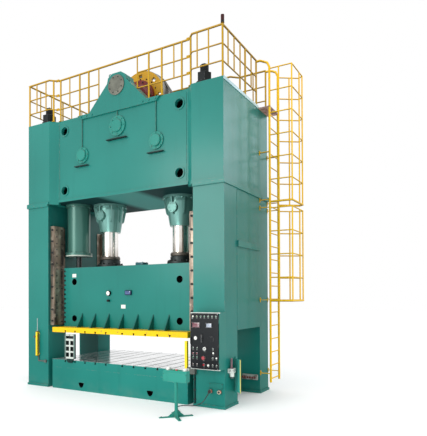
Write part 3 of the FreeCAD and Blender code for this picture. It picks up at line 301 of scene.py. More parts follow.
def enamel(name, colour, parts=None, gloss=0.36, chip=0.5, under=primer_grey):
    """Sprayed enamel on plate: slow drifts of shade, runs, floor dust, chipped edges and orange peel.
    It shines more with height, but not on undersides. parts(place, colour, roughness, metal) can give
    single regions another finish."""
    material, place = start(name)
    drift = place.cloud(0.45, 3).fade(0.3, 0.7)
    light = tuple(min(1, 1.10 * part + 0.004) for part in colour)
    deep = tuple(0.88 * part for part in colour)
    runs = place.stretch(7, 7, 0.5).cloud(1, 4).fade(0.55, 0.8)
    shade = (runs * 0.35).blend(drift.blend(deep, light), tuple(0.72 * part for part in colour))
    dust = (1 - place.along("Z").fade(0.0, 0.30)) * place.cloud(5, 5).fade(0.4, 0.75)
    shade = (dust * 0.12).blend(shade, tone(150, 148, 136))
    bare = worn_edge(place, 0.006) * place.cloud(14, 4).fade(chip, chip + 0.08)
    shade = bare.blend(shade, under)
    rough = gloss + place.cloud(3.5, 4) * 0.16 + dust * 0.25
    metal = bare * 0.3
    if parts:
        shade, rough, metal = parts(place, shade, rough, metal)
    relief = place.cloud(1.4, 1) * 2.4 + place.cloud(230, 2) * 0.22 - bare * 0.25
    turned_up = place.facing().along("Z") + 1
    polish = place.along("Z").fade(0.4, 2.8) * turned_up.fade(0.2, 0.7) * 0.44 + 0.02
    coat(place, shade, rough, relief, 0.0011, metal, Coat_Weight=polish, Coat_Roughness=0.22,
         Specular_IOR_Level=0.12)
    return material


def cover(material, *nodes):
    """Give this finish to sub-parts that show with their own mesh."""
    for node in nodes:
        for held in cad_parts[node].material_slots:
            held.material = material


pocket_across = 0.94
wall_skin = 1.0646


def pocket_shadow(place, shade, rough, metal):
    """Painted shadow inside the two rigging pockets: near black, and rougher."""
    x, y, z = place.axes()
    wall = (abs(y) < wall_skin) * (abs(y) > 0.80)
    inside = wall * abs(x).near(pocket_across, 0.10) * z.near(0.125, 0.07)
    return inside.blend(shade, tone(9, 14, 16)), rough.either(inside * 0.7), metal


def bridge(shape, low, high):
    """Close the band between two rings that have the same number of corners."""
    for k in range(len(low)):
        after = (k + 1) % len(low)
        shape.faces.new((low[k], low[after], high[after], high[k]))


hooks = bmesh.new()
mouth = [(-0.084, 0.178), (-0.012, 0.186), (0.012, 0.186), (0.084, 0.178), (0.058, 0.112),
         (0.022, 0.074), (-0.022, 0.074), (-0.058, 0.112)]
for across in (-pocket_across, pocket_across):
    outer, inner = ([hooks.verts.new((across + x, deep, z)) for x, z in mouth]
                    for deep in (-1.085, -0.940))
    hooks.faces.new(outer)
    hooks.faces.new(inner)
    bridge(hooks, outer, inner)
bmesh.ops.recalc_face_normals(hooks, faces=hooks.faces)
hook_mesh = bpy.data.meshes.new("hook_pockets")
hooks.to_mesh(hook_mesh)
hooks.free()
hook_shape = bpy.data.objects.new("hook_pockets", hook_mesh)
bed_blank = bpy.data.objects.new("bed_blank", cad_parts["bed"].data.copy())
for blank in (hook_shape, bed_blank):
    bpy.context.scene.collection.objects.link(blank)
cut = bed_blank.modifiers.new("pockets", "BOOLEAN")
cut.object, cut.solver = hook_shape, "EXACT"
pocketed = bed_blank.evaluated_get(bpy.context.evaluated_depsgraph_get())
bed_mesh = bpy.data.meshes.new_from_object(pocketed)
for blank in (hook_shape, bed_blank):
    bpy.data.objects.remove(blank)
bed_mesh.materials.clear()
bed_mesh.shade_flat()
bed_box = show("bed_box", bed_mesh, "frame",
               enamel("bed_enamel", press_green, pocket_shadow))
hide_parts("bed")


# ---------------------------------------------------------------- bolster
# A rolled steel plate as wide as the bed, face-milled on top with ten tee slots cut from front to
# back. Its edges are painted with the bed; the working face is bare and lightly oiled.

def bare_steel(place, bright, dull, grain):
    """Colour and roughness of machined steel: cutter lines along the grain, oil film and dull spots."""
    lines = place.stretch(*grain).cloud(1, 2)
    film = place.cloud(1.8, 5).fade(0.4, 0.7)
    spots = place.cloud(26, 4).fade(0.66, 0.76)
    shade = (spots * 0.5).blend(film.blend(bright, dull), tone(96, 78, 62))
    return (lines * 0.4).blend(shade, dull), 0.24 + film * 0.18 + lines * 0.14


plate_top = 0.6605


def milled_top(place, shade, rough, metal):
    """Bare steel everywhere but on the painted edges, and painted shade, near black, down in the slots.
    """
    steel, sheen = bare_steel(place, tone(252, 253, 254), tone(232, 234, 235), (900, 6, 6))
    x, y, z = place.axes()
    # low holds the walls and floors of the slots, where near black is painted shade.
    low = (z < plate_top) * (abs(y) < wall_skin) * (abs(x) < 1.8350)
    bare = (z > plate_top).either(low)
    shade = low.blend(bare.blend(shade, steel), tone(22, 24, 24))
    return shade, rough + (sheen * 0.5 - rough) * bare, bare * 0.8 + metal


cover(enamel("bolster_plate", press_green, milled_top), "bolster")


# ---------------------------------------------------------------- uprights
# Two welded portals that stand on the floor beside the bed, each with a wide window low in its side.
# The bolting band at the top and the foot plates are flame-cut; plates meet in painted weld beads.

def ring(shape, middle, thick, across, over):
    """Eight corners round a point, in the plane of two directions."""
    return [shape.verts.new(middle + thick * (across * math.cos(a) + over * math.sin(a)))
            for a in (math.pi * k / 4 for k in range(8))]


def bead(shape, first, last, thick):
    """A weld bead between two points: a low ridge with the ripple of its passes."""
    first, last = Vector(first), Vector(last)
    way = (last - first).normalized()
    across = way.orthogonal().normalized()
    over = way.cross(across)
    count = max(2, int((last - first).length / 0.045))
    rings = [ring(shape, first.lerp(last, step / count), thick * (1 + 0.16 * (step % 2)), across, over)
             for step in range(count + 1)]
    for low, high in zip(rings, rings[1:]):
        bridge(shape, low, high)
    shape.faces.new(rings[0])
    shape.faces.new(rings[-1])


window_top = 1.4365


def inner_painted_shade(place, shade, rough, metal):
    """The legs' inner faces and the left window's sides, darkened with painted shade."""
    x, y, z = place.axes()
    inner = (abs(x) < 1.972) * (abs(y) < 1.0600) * (z > window_top)
    window = x.near(-2.286, 0.316) * y.near(0.035, 0.5660) * (z < window_top)
    # Painted shade darkens the inner faces and the window's sides.
    return (inner * 0.5).either(window * 0.7).blend(shade, tone(4, 52, 50)), rough, metal


cover(enamel("leg_enamel", press_green, inner_painted_shade), "right_upright", "left_upright")
beads = bmesh.new()
outer_face = 2.637
for way in (-1, 1):
    bead(beads, (way * 2.6425, -0.530, 1.436), (way * 2.6425, -0.530, 4.190), 0.005)
    for level in (3.055, 3.179):
        bead(beads, (way * outer_face, -0.528, level), (way * outer_face, 0.568, level), 0.006)
    for along in (-1.066, 1.066):
        bead(beads, (way * 1.972, along, 0.052), (way * 2.633, along, 0.052), 0.006)
solid("upright_weld_beads", beads, "frame", enamel("upright_enamel", press_green))


# ---------------------------------------------------------------- crown
# Three welded boxes bolted side by side on the uprights: the middle one carries the shafts. Drip
# trays hang under the shaft caps, and a chequered deck with cut-outs for the wheels closes the top.

def crown_oil_and_painted_shading(place, shade, rough, metal):
    """Oil-wet trays and gear case. The case's inside is a paler green as painted light; the underside
    carries painted light in its middle and near-black painted shade round the plungers.
    """
    x, y, z = place.axes()
    trays = (abs(y) > 0.926) * z.near(5.482, 0.010).either(z.near(5.034, 0.010))
    # The housing's inside: a paler green, which is painted light.
    inside = (abs(y) < 0.8645) * (z > 4.387)
    wet = trays.either(inside)
    # The underside: painted light in the middle, painted shade near black round the plungers.
    under = 1 - z.fade(4.286, 4.290)
    below = abs(x).fade(0.40, 0.65).blend(tone(74, 138, 132), tone(4, 22, 30))
    shade = (under * 0.85).blend(inside.blend(shade, tone(70, 118, 110)), below)
    return trays.blend(shade, tone(16, 38, 36)), rough * (1 - wet * 0.4) + under * 0.4, metal


cover(enamel("crown_enamel", press_green, crown_oil_and_painted_shading), "crown_housing")
cover(enamel("crown_box_enamel", press_green), "crown_left_box", "crown_right_box")

seams = bmesh.new()
for across in (-1.7465, 1.7465):
    bead(seams, (across, -0.926, 4.36), (across, -0.926, 6.12), 0.004)
solid("crown_plate_seams", seams, "frame", enamel("seam_enamel", tone(20, 92, 84)))


deck_level = 6.180


def chequer(place, shade, rough, metal):
    """Chequer plate, walked bright in turned rows."""
    turned = place.stretch(26, 26, 0)
    first = turned.lay("TexWave", {"wave_type": "BANDS", "bands_direction": "DIAGONAL"},
                       {"Vector": turned, "Scale": 0.5})
    top_face = place.along("Z") > deck_level - 0.001
    walked = place.cloud(2.2, 4).fade(0.5, 0.7) * first.fade(0.5, 0.9) * top_face
    return walked.blend(shade, tone(120, 142, 136)), rough + 0.1 * (1 - walked), metal + walked * 0.4


cover(enamel("deck_enamel", tone(34, 118, 106), chequer), "crown_deck")

lozenges = bmesh.new()
pitch = 0.06
for low_x, high_x, low_y, high_y in ((-1.90, -1.66, -0.82, 0.82), (1.66, 1.90, -0.82, 0.82),
                                     (-1.60, -0.86, -0.66, 0.80), (1.22, 1.60, -0.66, 0.80)):
    rows, columns = int((high_y - low_y) / pitch), int((high_x - low_x) / pitch)
    for row in range(rows):
        for column in range(columns):
            centre = Vector((low_x + pitch * (column + 0.5), low_y + pitch * (row + 0.5), deck_level))
            angle = math.radians(45 if (row + column) % 2 else -45)
            way = Vector((math.cos(angle), math.sin(angle), 0))
            cross = Vector((-math.sin(angle), math.cos(angle), 0))
            rim = [lozenges.verts.new(centre + way * u + cross * v)
                   for u, v in ((-0.024, 0), (0, -0.006), (0.024, 0), (0, 0.006))]
            peak = lozenges.verts.new(centre + Vector((0, 0, 0.0035)))
            for k in range(4):
                lozenges.faces.new((rim[k], rim[(k + 1) % 4], peak))
solid("deck_lozenges", lozenges, "frame",
      enamel("lozenge_enamel", tone(52, 130, 118), chip=0.3, under=tone(170, 172, 168)))


def block(shape, low, high, round_off):
    """A plate or bar between two corners with its edges broken."""
    low, high = Vector(low), Vector(high)
    made = bmesh.ops.create_cube(shape, size=1)["verts"]
    for corner in made:
        corner.co = Vector(((low[k] + high[k]) / 2 + corner.co[k] * (high[k] - low[k])
                            for k in range(3)))
    edges = list(dict.fromkeys(edge for corner in made for edge in corner.link_edges))
    bmesh.ops.bevel(shape, geom=edges, offset=round_off, segments=2, affect="EDGES", profile=0.6)


kerb = bmesh.new()
for way in (-1, 1):
    low, high = sorted((way * 2.6355, way * 2.650))
    block(kerb, (low, -1.060, 6.128), (high, 0.55, 6.186), 0.003)
solid("deck_kerbs", kerb, "frame",
      enamel("kerb_enamel", tone(176, 206, 212), gloss=0.28))


# ---------------------------------------------------------------- tie rods and nuts
# Four forged steel rods, stretched hot, hold crown, uprights and bed together. Their hexagon nuts are
# blacked and greased, each locked by a small plate with a screw.

def forged(name, colour, oily=0.3):
    """Blacked or cast steel with an oil film, dust and a little rust in the hollows."""
    material, place = start(name)
    film = place.cloud(6, 4).fade(0.4, 0.7)
    rust = place.cloud(18, 5).fade(0.62, 0.78)
    dim = tuple(0.6 * part for part in colour)
    shade = (rust * 0.5).blend(film.blend(colour, dim), tone(92, 62, 44))
    bright = worn_edge(place, 0.004) * place.cloud(20, 3).fade(0.4, 0.6)
    coat(place, bright.blend(shade, tone(150, 152, 152)), oily + 0.22 * (1 - film) + rust * 0.2,
         place.cloud(90, 4), 0.0006, 0.55)
    return material


nut_black = forged("blacked_steel", tone(22, 28, 30))
cover(nut_black, "tie_rods", "tie_rod_nuts")


def blacked(name, shape, body="frame"):
    """Show screws and small plates in the finish of the nuts."""
    solid(name, shape, body, nut_black)


def bolt(shape, centre, facing, across, deep, washer=True):
    """A hexagon head with a chamfered crown on its washer."""
    steps = [(across * 0.62, 0.0), (across * 0.62, deep * 0.16)] if washer else [(across * 0.577, 0.0)]
    base = deep * 0.16 if washer else 0.0
    lathe(shape, [(0.0, 0.0)] + steps + [(across * 0.577, base), (across * 0.577, deep * 0.86),
                                         (across * 0.50, deep), (0.0, deep)], centre, facing, 6)


locks = bmesh.new()
rod_across, rod_along = 2.130, 0.880
for across in (-rod_across, rod_across):
    for along in (-rod_along, rod_along):
        block(locks, (across + 0.132, along - 0.03, 6.2205), (across + 0.164, along + 0.03, 6.25), 0.003)
        bolt(locks, (across + 0.150, along, 6.2495), "Z", 0.026, 0.016)
        lathe(locks, [(0.0, 0.0), (0.052, 0.0), (0.052, 0.006), (0.02, 0.012), (0.018, 0.03),
                      (0.0, 0.034)], (across, along, 6.5748))
blacked("tie_rod_locks", locks)


# ---------------------------------------------------------------- gib rails
# Heavy steel rails bolted inside the uprights, faced with strips of bronze that guide the slide. Each
# strip is scraped, drilled for countersunk screws and cut with grooves that carry the oil.

def bronze(name):
    """Scraped bronze gone brown under old oil, with dark runs and bright rubbed patches."""
    material, place = start(name)
    runs = place.stretch(9, 9, 1.2).cloud(1, 5).fade(0.42, 0.66)
    rubbed = place.cloud(7, 4).fade(0.55, 0.72)
    shade = rubbed.blend(runs.blend(tone(146, 130, 114), tone(62, 56, 52)), tone(176, 162, 146))
    coat(place, shade, 0.3 + runs * 0.12, place.stretch(1, 1, 2).cloud(60, 4), 0.0012, 0.6)
    return material


gib_bronze = bronze("gib_bronze")
cover(gib_bronze, "right_gib_rails", "left_gib_rails")

strip_face = 1.8375
strips, screws = bmesh.new(), bmesh.new()
for way in (-1, 1):
    for front_way in (-1, 1):
        near, far = sorted((front_way * 0.715, front_way * 0.990))
        low_x, high_x = sorted((way * 1.8495, way * strip_face))
        for step in range(5):
            foot = 1.445 + 0.457 * step
            block(strips, (low_x, near, foot), (high_x, far, foot + 0.443), 0.002)
            for level in (foot + 0.06, foot + 0.22, foot + 0.38):
                for along in (near + 0.06, far - 0.06):
                    lathe(screws, [(0.0, 0.004), (0.016, 0.004), (0.018, 0.001), (0.018, -0.004)],
                          (way * strip_face, along, level), "-X" if way > 0 else "X", 16)
        for step in range(9):
            bolt(screws, (way * 1.900, front_way * 1.0003, 1.53 + 0.265 * step),
                 "-Y" if front_way < 0 else "Y", 0.042, 0.026)
solid("gib_strips", strips, "frame", gib_bronze)
blacked("gib_screws", screws)


# ---------------------------------------------------------------- slide
# A welded box with a machined sole plate painted yellow as a warning edge, stiffened by seven ribs
# front and back. It is enamelled like the frame, with bare guiding tongues, and slung by four bores.

sole_bottom, sole_top = 1.2805, 1.3935


def slide_regions(place, shade, rough, metal):
    """The yellow sole edge, bare sole and tongues, and painted shade: near black in the bores and slots,
    darker green on the ribs.
    """
    x, y, z = place.axes()
    x, y = abs(x), abs(y)
    worn = place.cloud(16, 4).fade(0.62, 0.7)
    edge = (z < sole_top) * (z > sole_bottom)
    rim = edge * (y > wall_skin).either(x > 1.8352)
    ledge = (z < sole_top) * (z > 1.3925)
    warning = worn.blend(tone(226, 184, 6), tone(150, 132, 60))
    steel, sheen = bare_steel(place, tone(176, 178, 176), tone(122, 122, 118), (6, 6, 400))
    bare = (z < sole_bottom).either((x > 1.7855) * (z > 1.40))
    # The slots and bores are near black as painted shade.
    slots = edge * (1 - rim) * (1 - ledge)
    bores = (y < 0.7484) * (x < 1.70) * (z > 1.40) * (z < 2.7640)
    dark = slots.either(bores)
    # The ribs' faces are darkened as painted shade.
    rib_shade = (y > 0.7505) * (z > sole_top) * (z < 1.72)
    shade = (rib_shade * 0.55).blend(shade, tone(6, 52, 46))
    shade = rim.either(ledge).blend(bare.blend(shade, steel), warning)
    rough = (rough + (sheen - rough) * bare).either(dark * 0.6)
    return dark.blend(shade, tone(7, 10, 11)), rough, (bare * 0.8 + metal) * (1 - dark)


cover(enamel("slide_enamel", press_green, slide_regions), "slide")

keepers, unit = bmesh.new(), bmesh.new()
for way in (-1, 1):
    for front_way, facing in ((-1, "-Y"), (1, "Y")):
        for step in range(12):
            bolt(keepers, (way * 1.755, front_way * 0.7498, 1.50 + 0.108 * step), facing, 0.036, 0.022)
blacked("slide_keeper_bolts", keepers, "slide_body")
block(unit, (0.23, -0.62, 2.7648), (0.43, -0.42, 2.832), 0.008)
for x in (0.255, 0.405):
    for y in (-0.595, -0.445):
        bolt(unit, (x, y, 2.8318), "Z", 0.018, 0.012)
solid("overload_valve_box", unit, "slide_body",
      enamel("valve_box_blue", tone(34, 92, 100)))


# ---------------------------------------------------------------- plungers, guides and balance cylinders
# Hard-chromed plungers run in bronze-bushed cast guides under the crown; their flanges are bolted to
# the slide. Beside them two air cylinders carry the slide's weight on ground rods.

def chrome(name, bright, dull):
    """Ground and hard-chromed steel: fine rings of the wheel, dull streaks that are partly oil and
    partly painted reflection, a dull collar.
    """
    material, place = start(name)
    height = place.along("Z")
    rings = place.stretch(3, 3, 260).cloud(1, 2)
    # Dull streaks: partly oil, partly painted reflection.
    oil_and_painted_reflection = place.stretch(16, 16, 0.6).cloud(1, 3).fade(0.5, 0.8)
    low, flange = 1 - height.fade(3.04, 3.30), height < 2.977
    shade = (oil_and_painted_reflection * 0.7 + rings * 0.2 + low * 0.5).blend(bright, dull)
    rough = 0.13 + rings * 0.10 + oil_and_painted_reflection * 0.12 + flange * 0.2
    coat(place, flange.blend(shade, tone(38, 46, 46)), rough, rings, 0.0002, 0.96 - flange * 0.5)
    return material


cover(chrome("plunger_chrome", tone(252, 250, 246), tone(156, 142, 128)),
      "right_plunger", "left_plunger")
cover(forged("rod_steel", tone(54, 58, 58), 0.25), "right_balance_rod", "left_balance_rod")


def silvery(place, shade, rough, metal):
    """Aluminium-pigmented enamel that shines like the casting under it."""
    return shade, rough * 0.7, metal + 0.5


cast_enamel = enamel("cast_enamel", tone(102, 150, 142), silvery, 0.24)
cover(cast_enamel, "right_plunger_guide", "left_plunger_guide")


def cylinder_shell(place, shade, rough, metal):
    """Thin paint over drawn tube, and the pale ring under it."""
    collar = place.along("Z") < 3.075
    return collar.blend(shade, tone(176, 184, 174)), rough * 0.8, metal + 0.25 * (1 - collar)


cover(enamel("cylinder_enamel", tone(56, 102, 92), cylinder_shell, 0.3),
      "right_balance_cylinder", "left_balance_cylinder")


def bolt_circle(shape, centre, radius, count, facing, across, deep, first=0.0):
    """Hexagon heads evenly round a centre, on a face that looks up, down or to the front."""
    for step in range(count):
        angle = first + 2 * math.pi * step / count
        u, v = radius * math.cos(angle), radius * math.sin(angle)
        off = Vector((u, v, 0) if "Z" in facing else (u, 0, v))
        bolt(shape, Vector(centre) + off, facing, across, deep)


plunger_across = 1.018
collars, guide_bolts = bmesh.new(), bmesh.new()
for across in (-plunger_across, plunger_across):
    lathe(collars, [(0.1915, 2.9765), (0.232, 2.9765), (0.236, 2.985), (0.236, 3.030), (0.228, 3.040),
                    (0.1915, 3.040)], (across, 0, 0), "Z", 40)
    bolt_circle(collars, (across, 0, 3.0395), 0.214, 10, "Z", 0.024, 0.018, math.pi / 10)
    bolt_circle(guide_bolts, (across, 0, 4.2303), 0.368, 10, "-Z", 0.040, 0.028, math.pi / 10)
    bolt_circle(guide_bolts, (across, -0.3628, 4.014), 0.086, 6, "-Y", 0.020, 0.012)
solid("plunger_seal_collars", collars, "slide_body",
      forged("collar_bronze", tone(104, 96, 88), 0.25))
solid("guide_bolts", guide_bolts, "frame", cast_enamel)


# ---------------------------------------------------------------- gears and rods
# Cast-steel wheels with cut teeth, forged shafts and the two big-end rods. They run in an oil spray,
# which leaves the same film on all of them.

cover(forged("gear_steel", tone(112, 110, 104), 0.22), "middle_gear_shaft", "drive_shaft",
      "right_eccentric_gear", "left_eccentric_gear", "right_connecting_rod", "left_connecting_rod")


# ---------------------------------------------------------------- shaft caps
# Turned covers over the ends of the crown's shafts, enamelled in place. The drive shaft's cover is
# left as bare cast iron, held by a ring of screws.

cover(enamel("cap_enamel", tone(30, 126, 114)), "eccentric_pins", "centre_shaft_cap")
cover(forged("cover_iron", tone(112, 114, 104), 0.4), "gear_housing_cover")
drive_level = 6.6359
cover_bolts = bmesh.new()
bolt_circle(cover_bolts, (0, -0.9935, drive_level), 0.172, 8, "-Y", 0.022, 0.014, math.pi / 8)
blacked("cover_screws", cover_bolts)


# ---------------------------------------------------------------- flywheel and clutch
# A cast wheel, painted yellow on its face and left turned on the rim where the belts run, with eight
# windows. The air clutch sits on its hub in a dark red housing ringed with screws.

def turned_rim(place, shade, rough, metal):
    """Bare turned iron on the rim, polished by the belts."""
    from_axis = place.stretch(1, 0, 1).distance((0, 0, drive_level))
    rim = (from_axis > 0.6385) * (place.along("Y") > -0.1195)
    back_face = place.along("Y") > -0.079
    rings = place.stretch(4, 300, 4).cloud(1, 2)
    iron = rings.blend(tone(158, 158, 152), tone(112, 112, 108))
    bare = rim.either(back_face)
    return bare.blend(shade, iron), rough + bare * (rings * 0.2 - 0.05), metal + bare * 0.75


cover(enamel("flywheel_enamel", tone(192, 144, 10), turned_rim, 0.4), "flywheel")
cover(enamel("clutch_enamel", tone(112, 26, 24), gloss=0.34), "clutch_housing")

clutch_bolts = bmesh.new()
bolt_circle(clutch_bolts, (0, -0.2078, drive_level), 0.350, 16, "-Y", 0.030, 0.020)
bolt_circle(clutch_bolts, (0, -0.1198, drive_level), 0.455, 16, "-Y", 0.026, 0.018)
blacked("clutch_bolts", clutch_bolts, "flywheel_body")


# ---------------------------------------------------------------- motor, pulley and belts
# A ribbed iron-cased motor on a shelf behind the gear housing drives the flywheel through four flat
# belts. Its fan is behind a pressed cowl, and the terminal box is on top.

motor_blue = enamel("motor_enamel", tone(62, 98, 110), gloss=0.42)
cover(motor_blue, "main_motor")
cover(forged("pulley_iron", tone(88, 88, 86), 0.3), "motor_pulley")
cover(rubber("belt_rubber", tone(92, 92, 88), tone(138, 134, 124)), "drive_belts")


def spoke(angle):
    """A direction outwards on a front face, and the one that turns round it."""
    across, up = math.cos(angle), math.sin(angle)
    return Vector((across, 0, up)), Vector((-up, 0, across))


fins = bmesh.new()
motor_centre = Vector((0.950, 0, 6.150))
for step in range(28):
    angle = 2 * math.pi * step / 28
    if math.sin(angle) < -0.84 or math.sin(angle) > 0.92:
        continue
    way, cross = spoke(angle)
    cross = cross * 0.0025
    foot, tip = motor_centre + way * 0.187, motor_centre + way * 0.209
    outline = (foot - cross * 1.6, tip - cross, tip + cross, foot + cross * 1.6)
    front, back = ([fins.verts.new(corner + Vector((0, y, 0))) for corner in outline]
                   for y in (0.285, 0.655))
    fins.faces.new(front)
    fins.faces.new(back[::-1])
    bridge(fins, front, back)
lathe(fins, [(0.172, 0.690), (0.193, 0.694), (0.196, 0.700), (0.196, 0.792), (0.188, 0.802),
             (0.150, 0.804), (0.150, 0.801), (0.172, 0.797), (0.172, 0.690)], motor_centre, "Y", 48)
for radius in (0.04, 0.07, 0.10, 0.13):
    lathe(fins, [(radius, 0.8005), (radius + 0.009, 0.8005), (radius + 0.009, 0.8060),
                 (radius, 0.8060), (radius, 0.8005)], motor_centre, "Y", 40)
block(fins, (0.865, 0.375, 6.4175), (1.035, 0.545, 6.434), 0.004)
for x in (0.885, 1.015):
    for y in (0.395, 0.525):
        bolt(fins, (x, y, 6.4338), "Z", 0.014, 0.008)
solid("motor_fins_and_cowl", fins, "frame", motor_blue)


# ---------------------------------------------------------------- gear housing
# A welded hood over the drive gears with bevelled shoulders, bolted against the crown's face by its
# apron. Two eyes on its shoulders lift it off.

housing_enamel = enamel("housing_enamel", press_green)
cover(housing_enamel, "gear_housing")
lugs = bmesh.new()
for across, level in ((-0.205, 6.842), (0.300, 6.678)):
    lathe(lugs, [(0.0, -0.01), (0.030, -0.01), (0.030, 0.008), (0.016, 0.014), (0.014, 0.030),
                 (0.0, 0.032)], (across, -0.930, level))
    rings = []
    for step in range(20):
        out, _ = spoke(2 * math.pi * step / 20)
        middle = Vector((across, -0.930, level + 0.052)) + out * 0.026
        rings.append(ring(lugs, middle, 0.009, out, Vector((0, 1, 0))))
    for low, high in zip(rings, rings[1:] + rings[:1]):
        bridge(lugs, low, high)
for across in (-1.02, -0.86, -0.70, 0.70, 0.86, 1.02):
    bolt(lugs, (across, -0.9648, 6.135), "-Y", 0.030, 0.020)
solid("housing_eyes_and_bolts", lugs, "frame", housing_enamel)


# ---------------------------------------------------------------- oil pipes
# Thin copper lines that bring oil down from the housing to each shaft cap. They are screwed into a
# union at the cap and were sprayed over with the crown.

oil_copper, oil_place = start("oil_copper")
overspray = oil_place.cloud(11, 4).fade(0.35, 0.65)
coat(oil_place, overspray.blend(tone(62, 110, 96), tone(30, 92, 84)), 0.34 + overspray * 0.2,
     oil_place.cloud(80, 3), 0.0004, 0.1)
cover(oil_copper, "oil_pipes")
unions = bmesh.new()
for across, level in ((-plunger_across, 5.458), (0.0, 5.9809), (plunger_across, 5.458)):
    lathe(unions, [(0.0095, 0.0), (0.017, 0.0), (0.017, 0.016), (0.013, 0.018), (0.013, 0.030),
                   (0.0095, 0.032)], (across, -0.942, level), "Z", 6)
solid("oil_unions", unions, "frame", oil_copper)


# ---------------------------------------------------------------- railings
# Round tube rails, posts and balusters, welded and enamelled yellow, screwed to the deck by flanges.
# Clamp plates join the runs, and a dark signal lamp stands on the front corner.

def yellow(name, colour=tone(180, 140, 2), parts=None):
    """Rail enamel with painted shade, a brown darkening, on the undersides of the tubes."""
    def shaded_under(place, shade, rough, metal):
        # Painted shade: faces that look down are darkened brown.
        under = (0 - place.facing().along("Z")).fade(0.15, 0.75)
        shade = (under * 0.75).blend(shade, tone(84, 62, 30))
        return parts(place, shade, rough, metal) if parts else (shade, rough, metal)

    return enamel(name, colour, shaded_under, 0.45, 0.52, tone(96, 84, 60))


def beacon_lens(place, shade, rough, metal):
    """The lamp above the front corner post: smoked red glass on a black foot."""
    _, y, z = place.axes()
    lamp = (z > 7.1735) * (y < -1.0)
    shade = lamp.blend(shade, (z > 7.215).blend(tone(22, 22, 24), tone(54, 8, 10)))
    return shade, rough * (1 - lamp * 0.6), metal


rail_yellow = yellow("rail_yellow")
cover(rail_yellow, "left_railing", "middle_railings")
cover(yellow("right_rail_yellow", parts=beacon_lens), "right_railing")

flanges = bmesh.new()
posts = [(-1.727, -0.905), (-1.123, -0.905), (-0.849, -0.905), (0.818, -0.905), (1.145, -0.905),
         (1.628, -0.905), (-1.880, -0.979), (1.880, -0.979), (-1.150, 0.905), (1.150, 0.905)]
for x, y in posts:
    lathe(flanges, [(0.0205, 0.0003), (0.048, 0.0003), (0.048, 0.009), (0.0225, 0.011), (0.0205, 0.018)],
          (x, y, deck_level), "Z", 24)
    for angle in (0.8, 2.4, 3.9, 5.5):
        spot = (x + 0.037 * math.cos(angle), y + 0.037 * math.sin(angle), 6.1888)
        bolt(flanges, spot, "Z", 0.011, 0.008)
for x in (-1.797, 1.797):
    for level in (6.474, 6.802, 7.153):
        block(flanges, (x - 0.045, -0.934, level - 0.030), (x + 0.045, -0.927, level + 0.030), 0.002)
        for shift in (-0.028, 0.028):
            bolt(flanges, (x + shift, -0.9268, level), "-Y", 0.018, 0.012)
solid("railing_flanges", flanges, "frame", rail_yellow)


# ---------------------------------------------------------------- ladder and cage
# A fixed tube ladder stands off the right upright on flat brackets, inside a cage of hoops. Its
# landing is a bare plate, gone brown with rust and feet.

def landing_plate(place, shade, rough, metal):
    """Unpainted plate at deck level."""
    plate = place.along("Z").near(6.138, 0.009) * (place.along("X") > 2.64)
    rust = place.cloud(12, 5).fade(0.35, 0.7)
    brown = rust.blend(tone(196, 164, 160), tone(122, 84, 74))
    return plate.blend(shade, brown), rough + plate * 0.25, metal


# The ladder and its cage are a lighter yellow than the rails: painted light, as they stand in shade.
ladder_yellow = yellow("ladder_yellow", tone(244, 194, 8), landing_plate)
cover(ladder_yellow, "ladder")
cover(yellow("cage_yellow", tone(244, 194, 8)), "ladder_cages")
feet = bmesh.new()
for along in (0.620, 1.052):
    for level in (0.435, 2.006, 3.991, 4.156, 5.180):
        block(feet, (2.6355, along - 0.008, level - 0.050), (2.648, along + 0.010, level + 0.050), 0.002)
        bolt(feet, (2.6478, along, level + 0.030), "X", 0.016, 0.012)
solid("ladder_foot_plates", feet, "frame", ladder_yellow)


# ---------------------------------------------------------------- control cabinet and its door
# A folded steel cabinet in the frame's enamel with a rain lip painted pale as a highlight, and a hinged
# black door. The door holds a red counter, a grey screen, a meter, lamps, a selector knob and
# push-buttons.

def lip_highlight_and_inside(place, shade, rough, metal):
    """The cabinet's top and bottom lips painted pale as a highlight, and its pale inside."""
    x, y, z = place.axes()
    # Painted highlight: the lips are painted pale.
    lip = (abs(z - 1.269) > 0.5065) * (y < -1.28)
    inside = x.near(2.36, 0.2848) * z.near(1.269, 0.5038) * (y > -1.3040) * (y < -1.0660)
    shade = lip.blend(inside.blend(shade, tone(190, 184, 166)), tone(206, 214, 210))
    return shade, rough + inside * 0.2, metal


cover(enamel("cabinet_enamel", tone(30, 118, 108), lip_highlight_and_inside), "control_box")

door_face = -1.3262
meter_across, meter_level = 2.178, 1.321
selector_across, selector_level = 2.364, 1.133


def door_finish(place, shade, rough, metal):
    """Crackle black with white rings round the selector and the meter, and chromed button collars."""
    x, y, z = place.axes()
    meter = x.near(meter_across, 0.034) * z.near(meter_level, 0.034)
    selector = x.near(selector_across, 0.034) * z.near(selector_level, 0.034)
    proud = y < door_face
    white = proud * meter.either(selector)
    collars = proud * (z < 1.01)
    shade = collars.blend(white.blend(shade, tone(232, 232, 228)), tone(150, 152, 150))
    return shade, rough + 0.2, metal + collars * 0.7


cover(enamel("door_black", tone(14, 18, 22), door_finish, 0.42, under=tone(120, 120, 118)),
      "control_door")


def glow(name, colour, lit, strength, rows):
    """A lit display behind glass: bright dashes on a dark ground, or an even grey."""
    material, place = start(name)
    dashes = place.lay("TexChecker", {}, {"Vector": place.stretch(70, 0, rows), "Scale": 1.0}, "Fac")
    field = place.cloud(24, 2).fade(0.3, 0.7) * 0.4 + dashes * 0.6
    shade = field.blend(colour, lit)
    coat(place, shade, 0.08, place.cloud(40, 1), 0.0001, Emission_Color=shade,
         Emission_Strength=strength, Coat_Weight=1.0, Coat_Roughness=0.03)
    return material


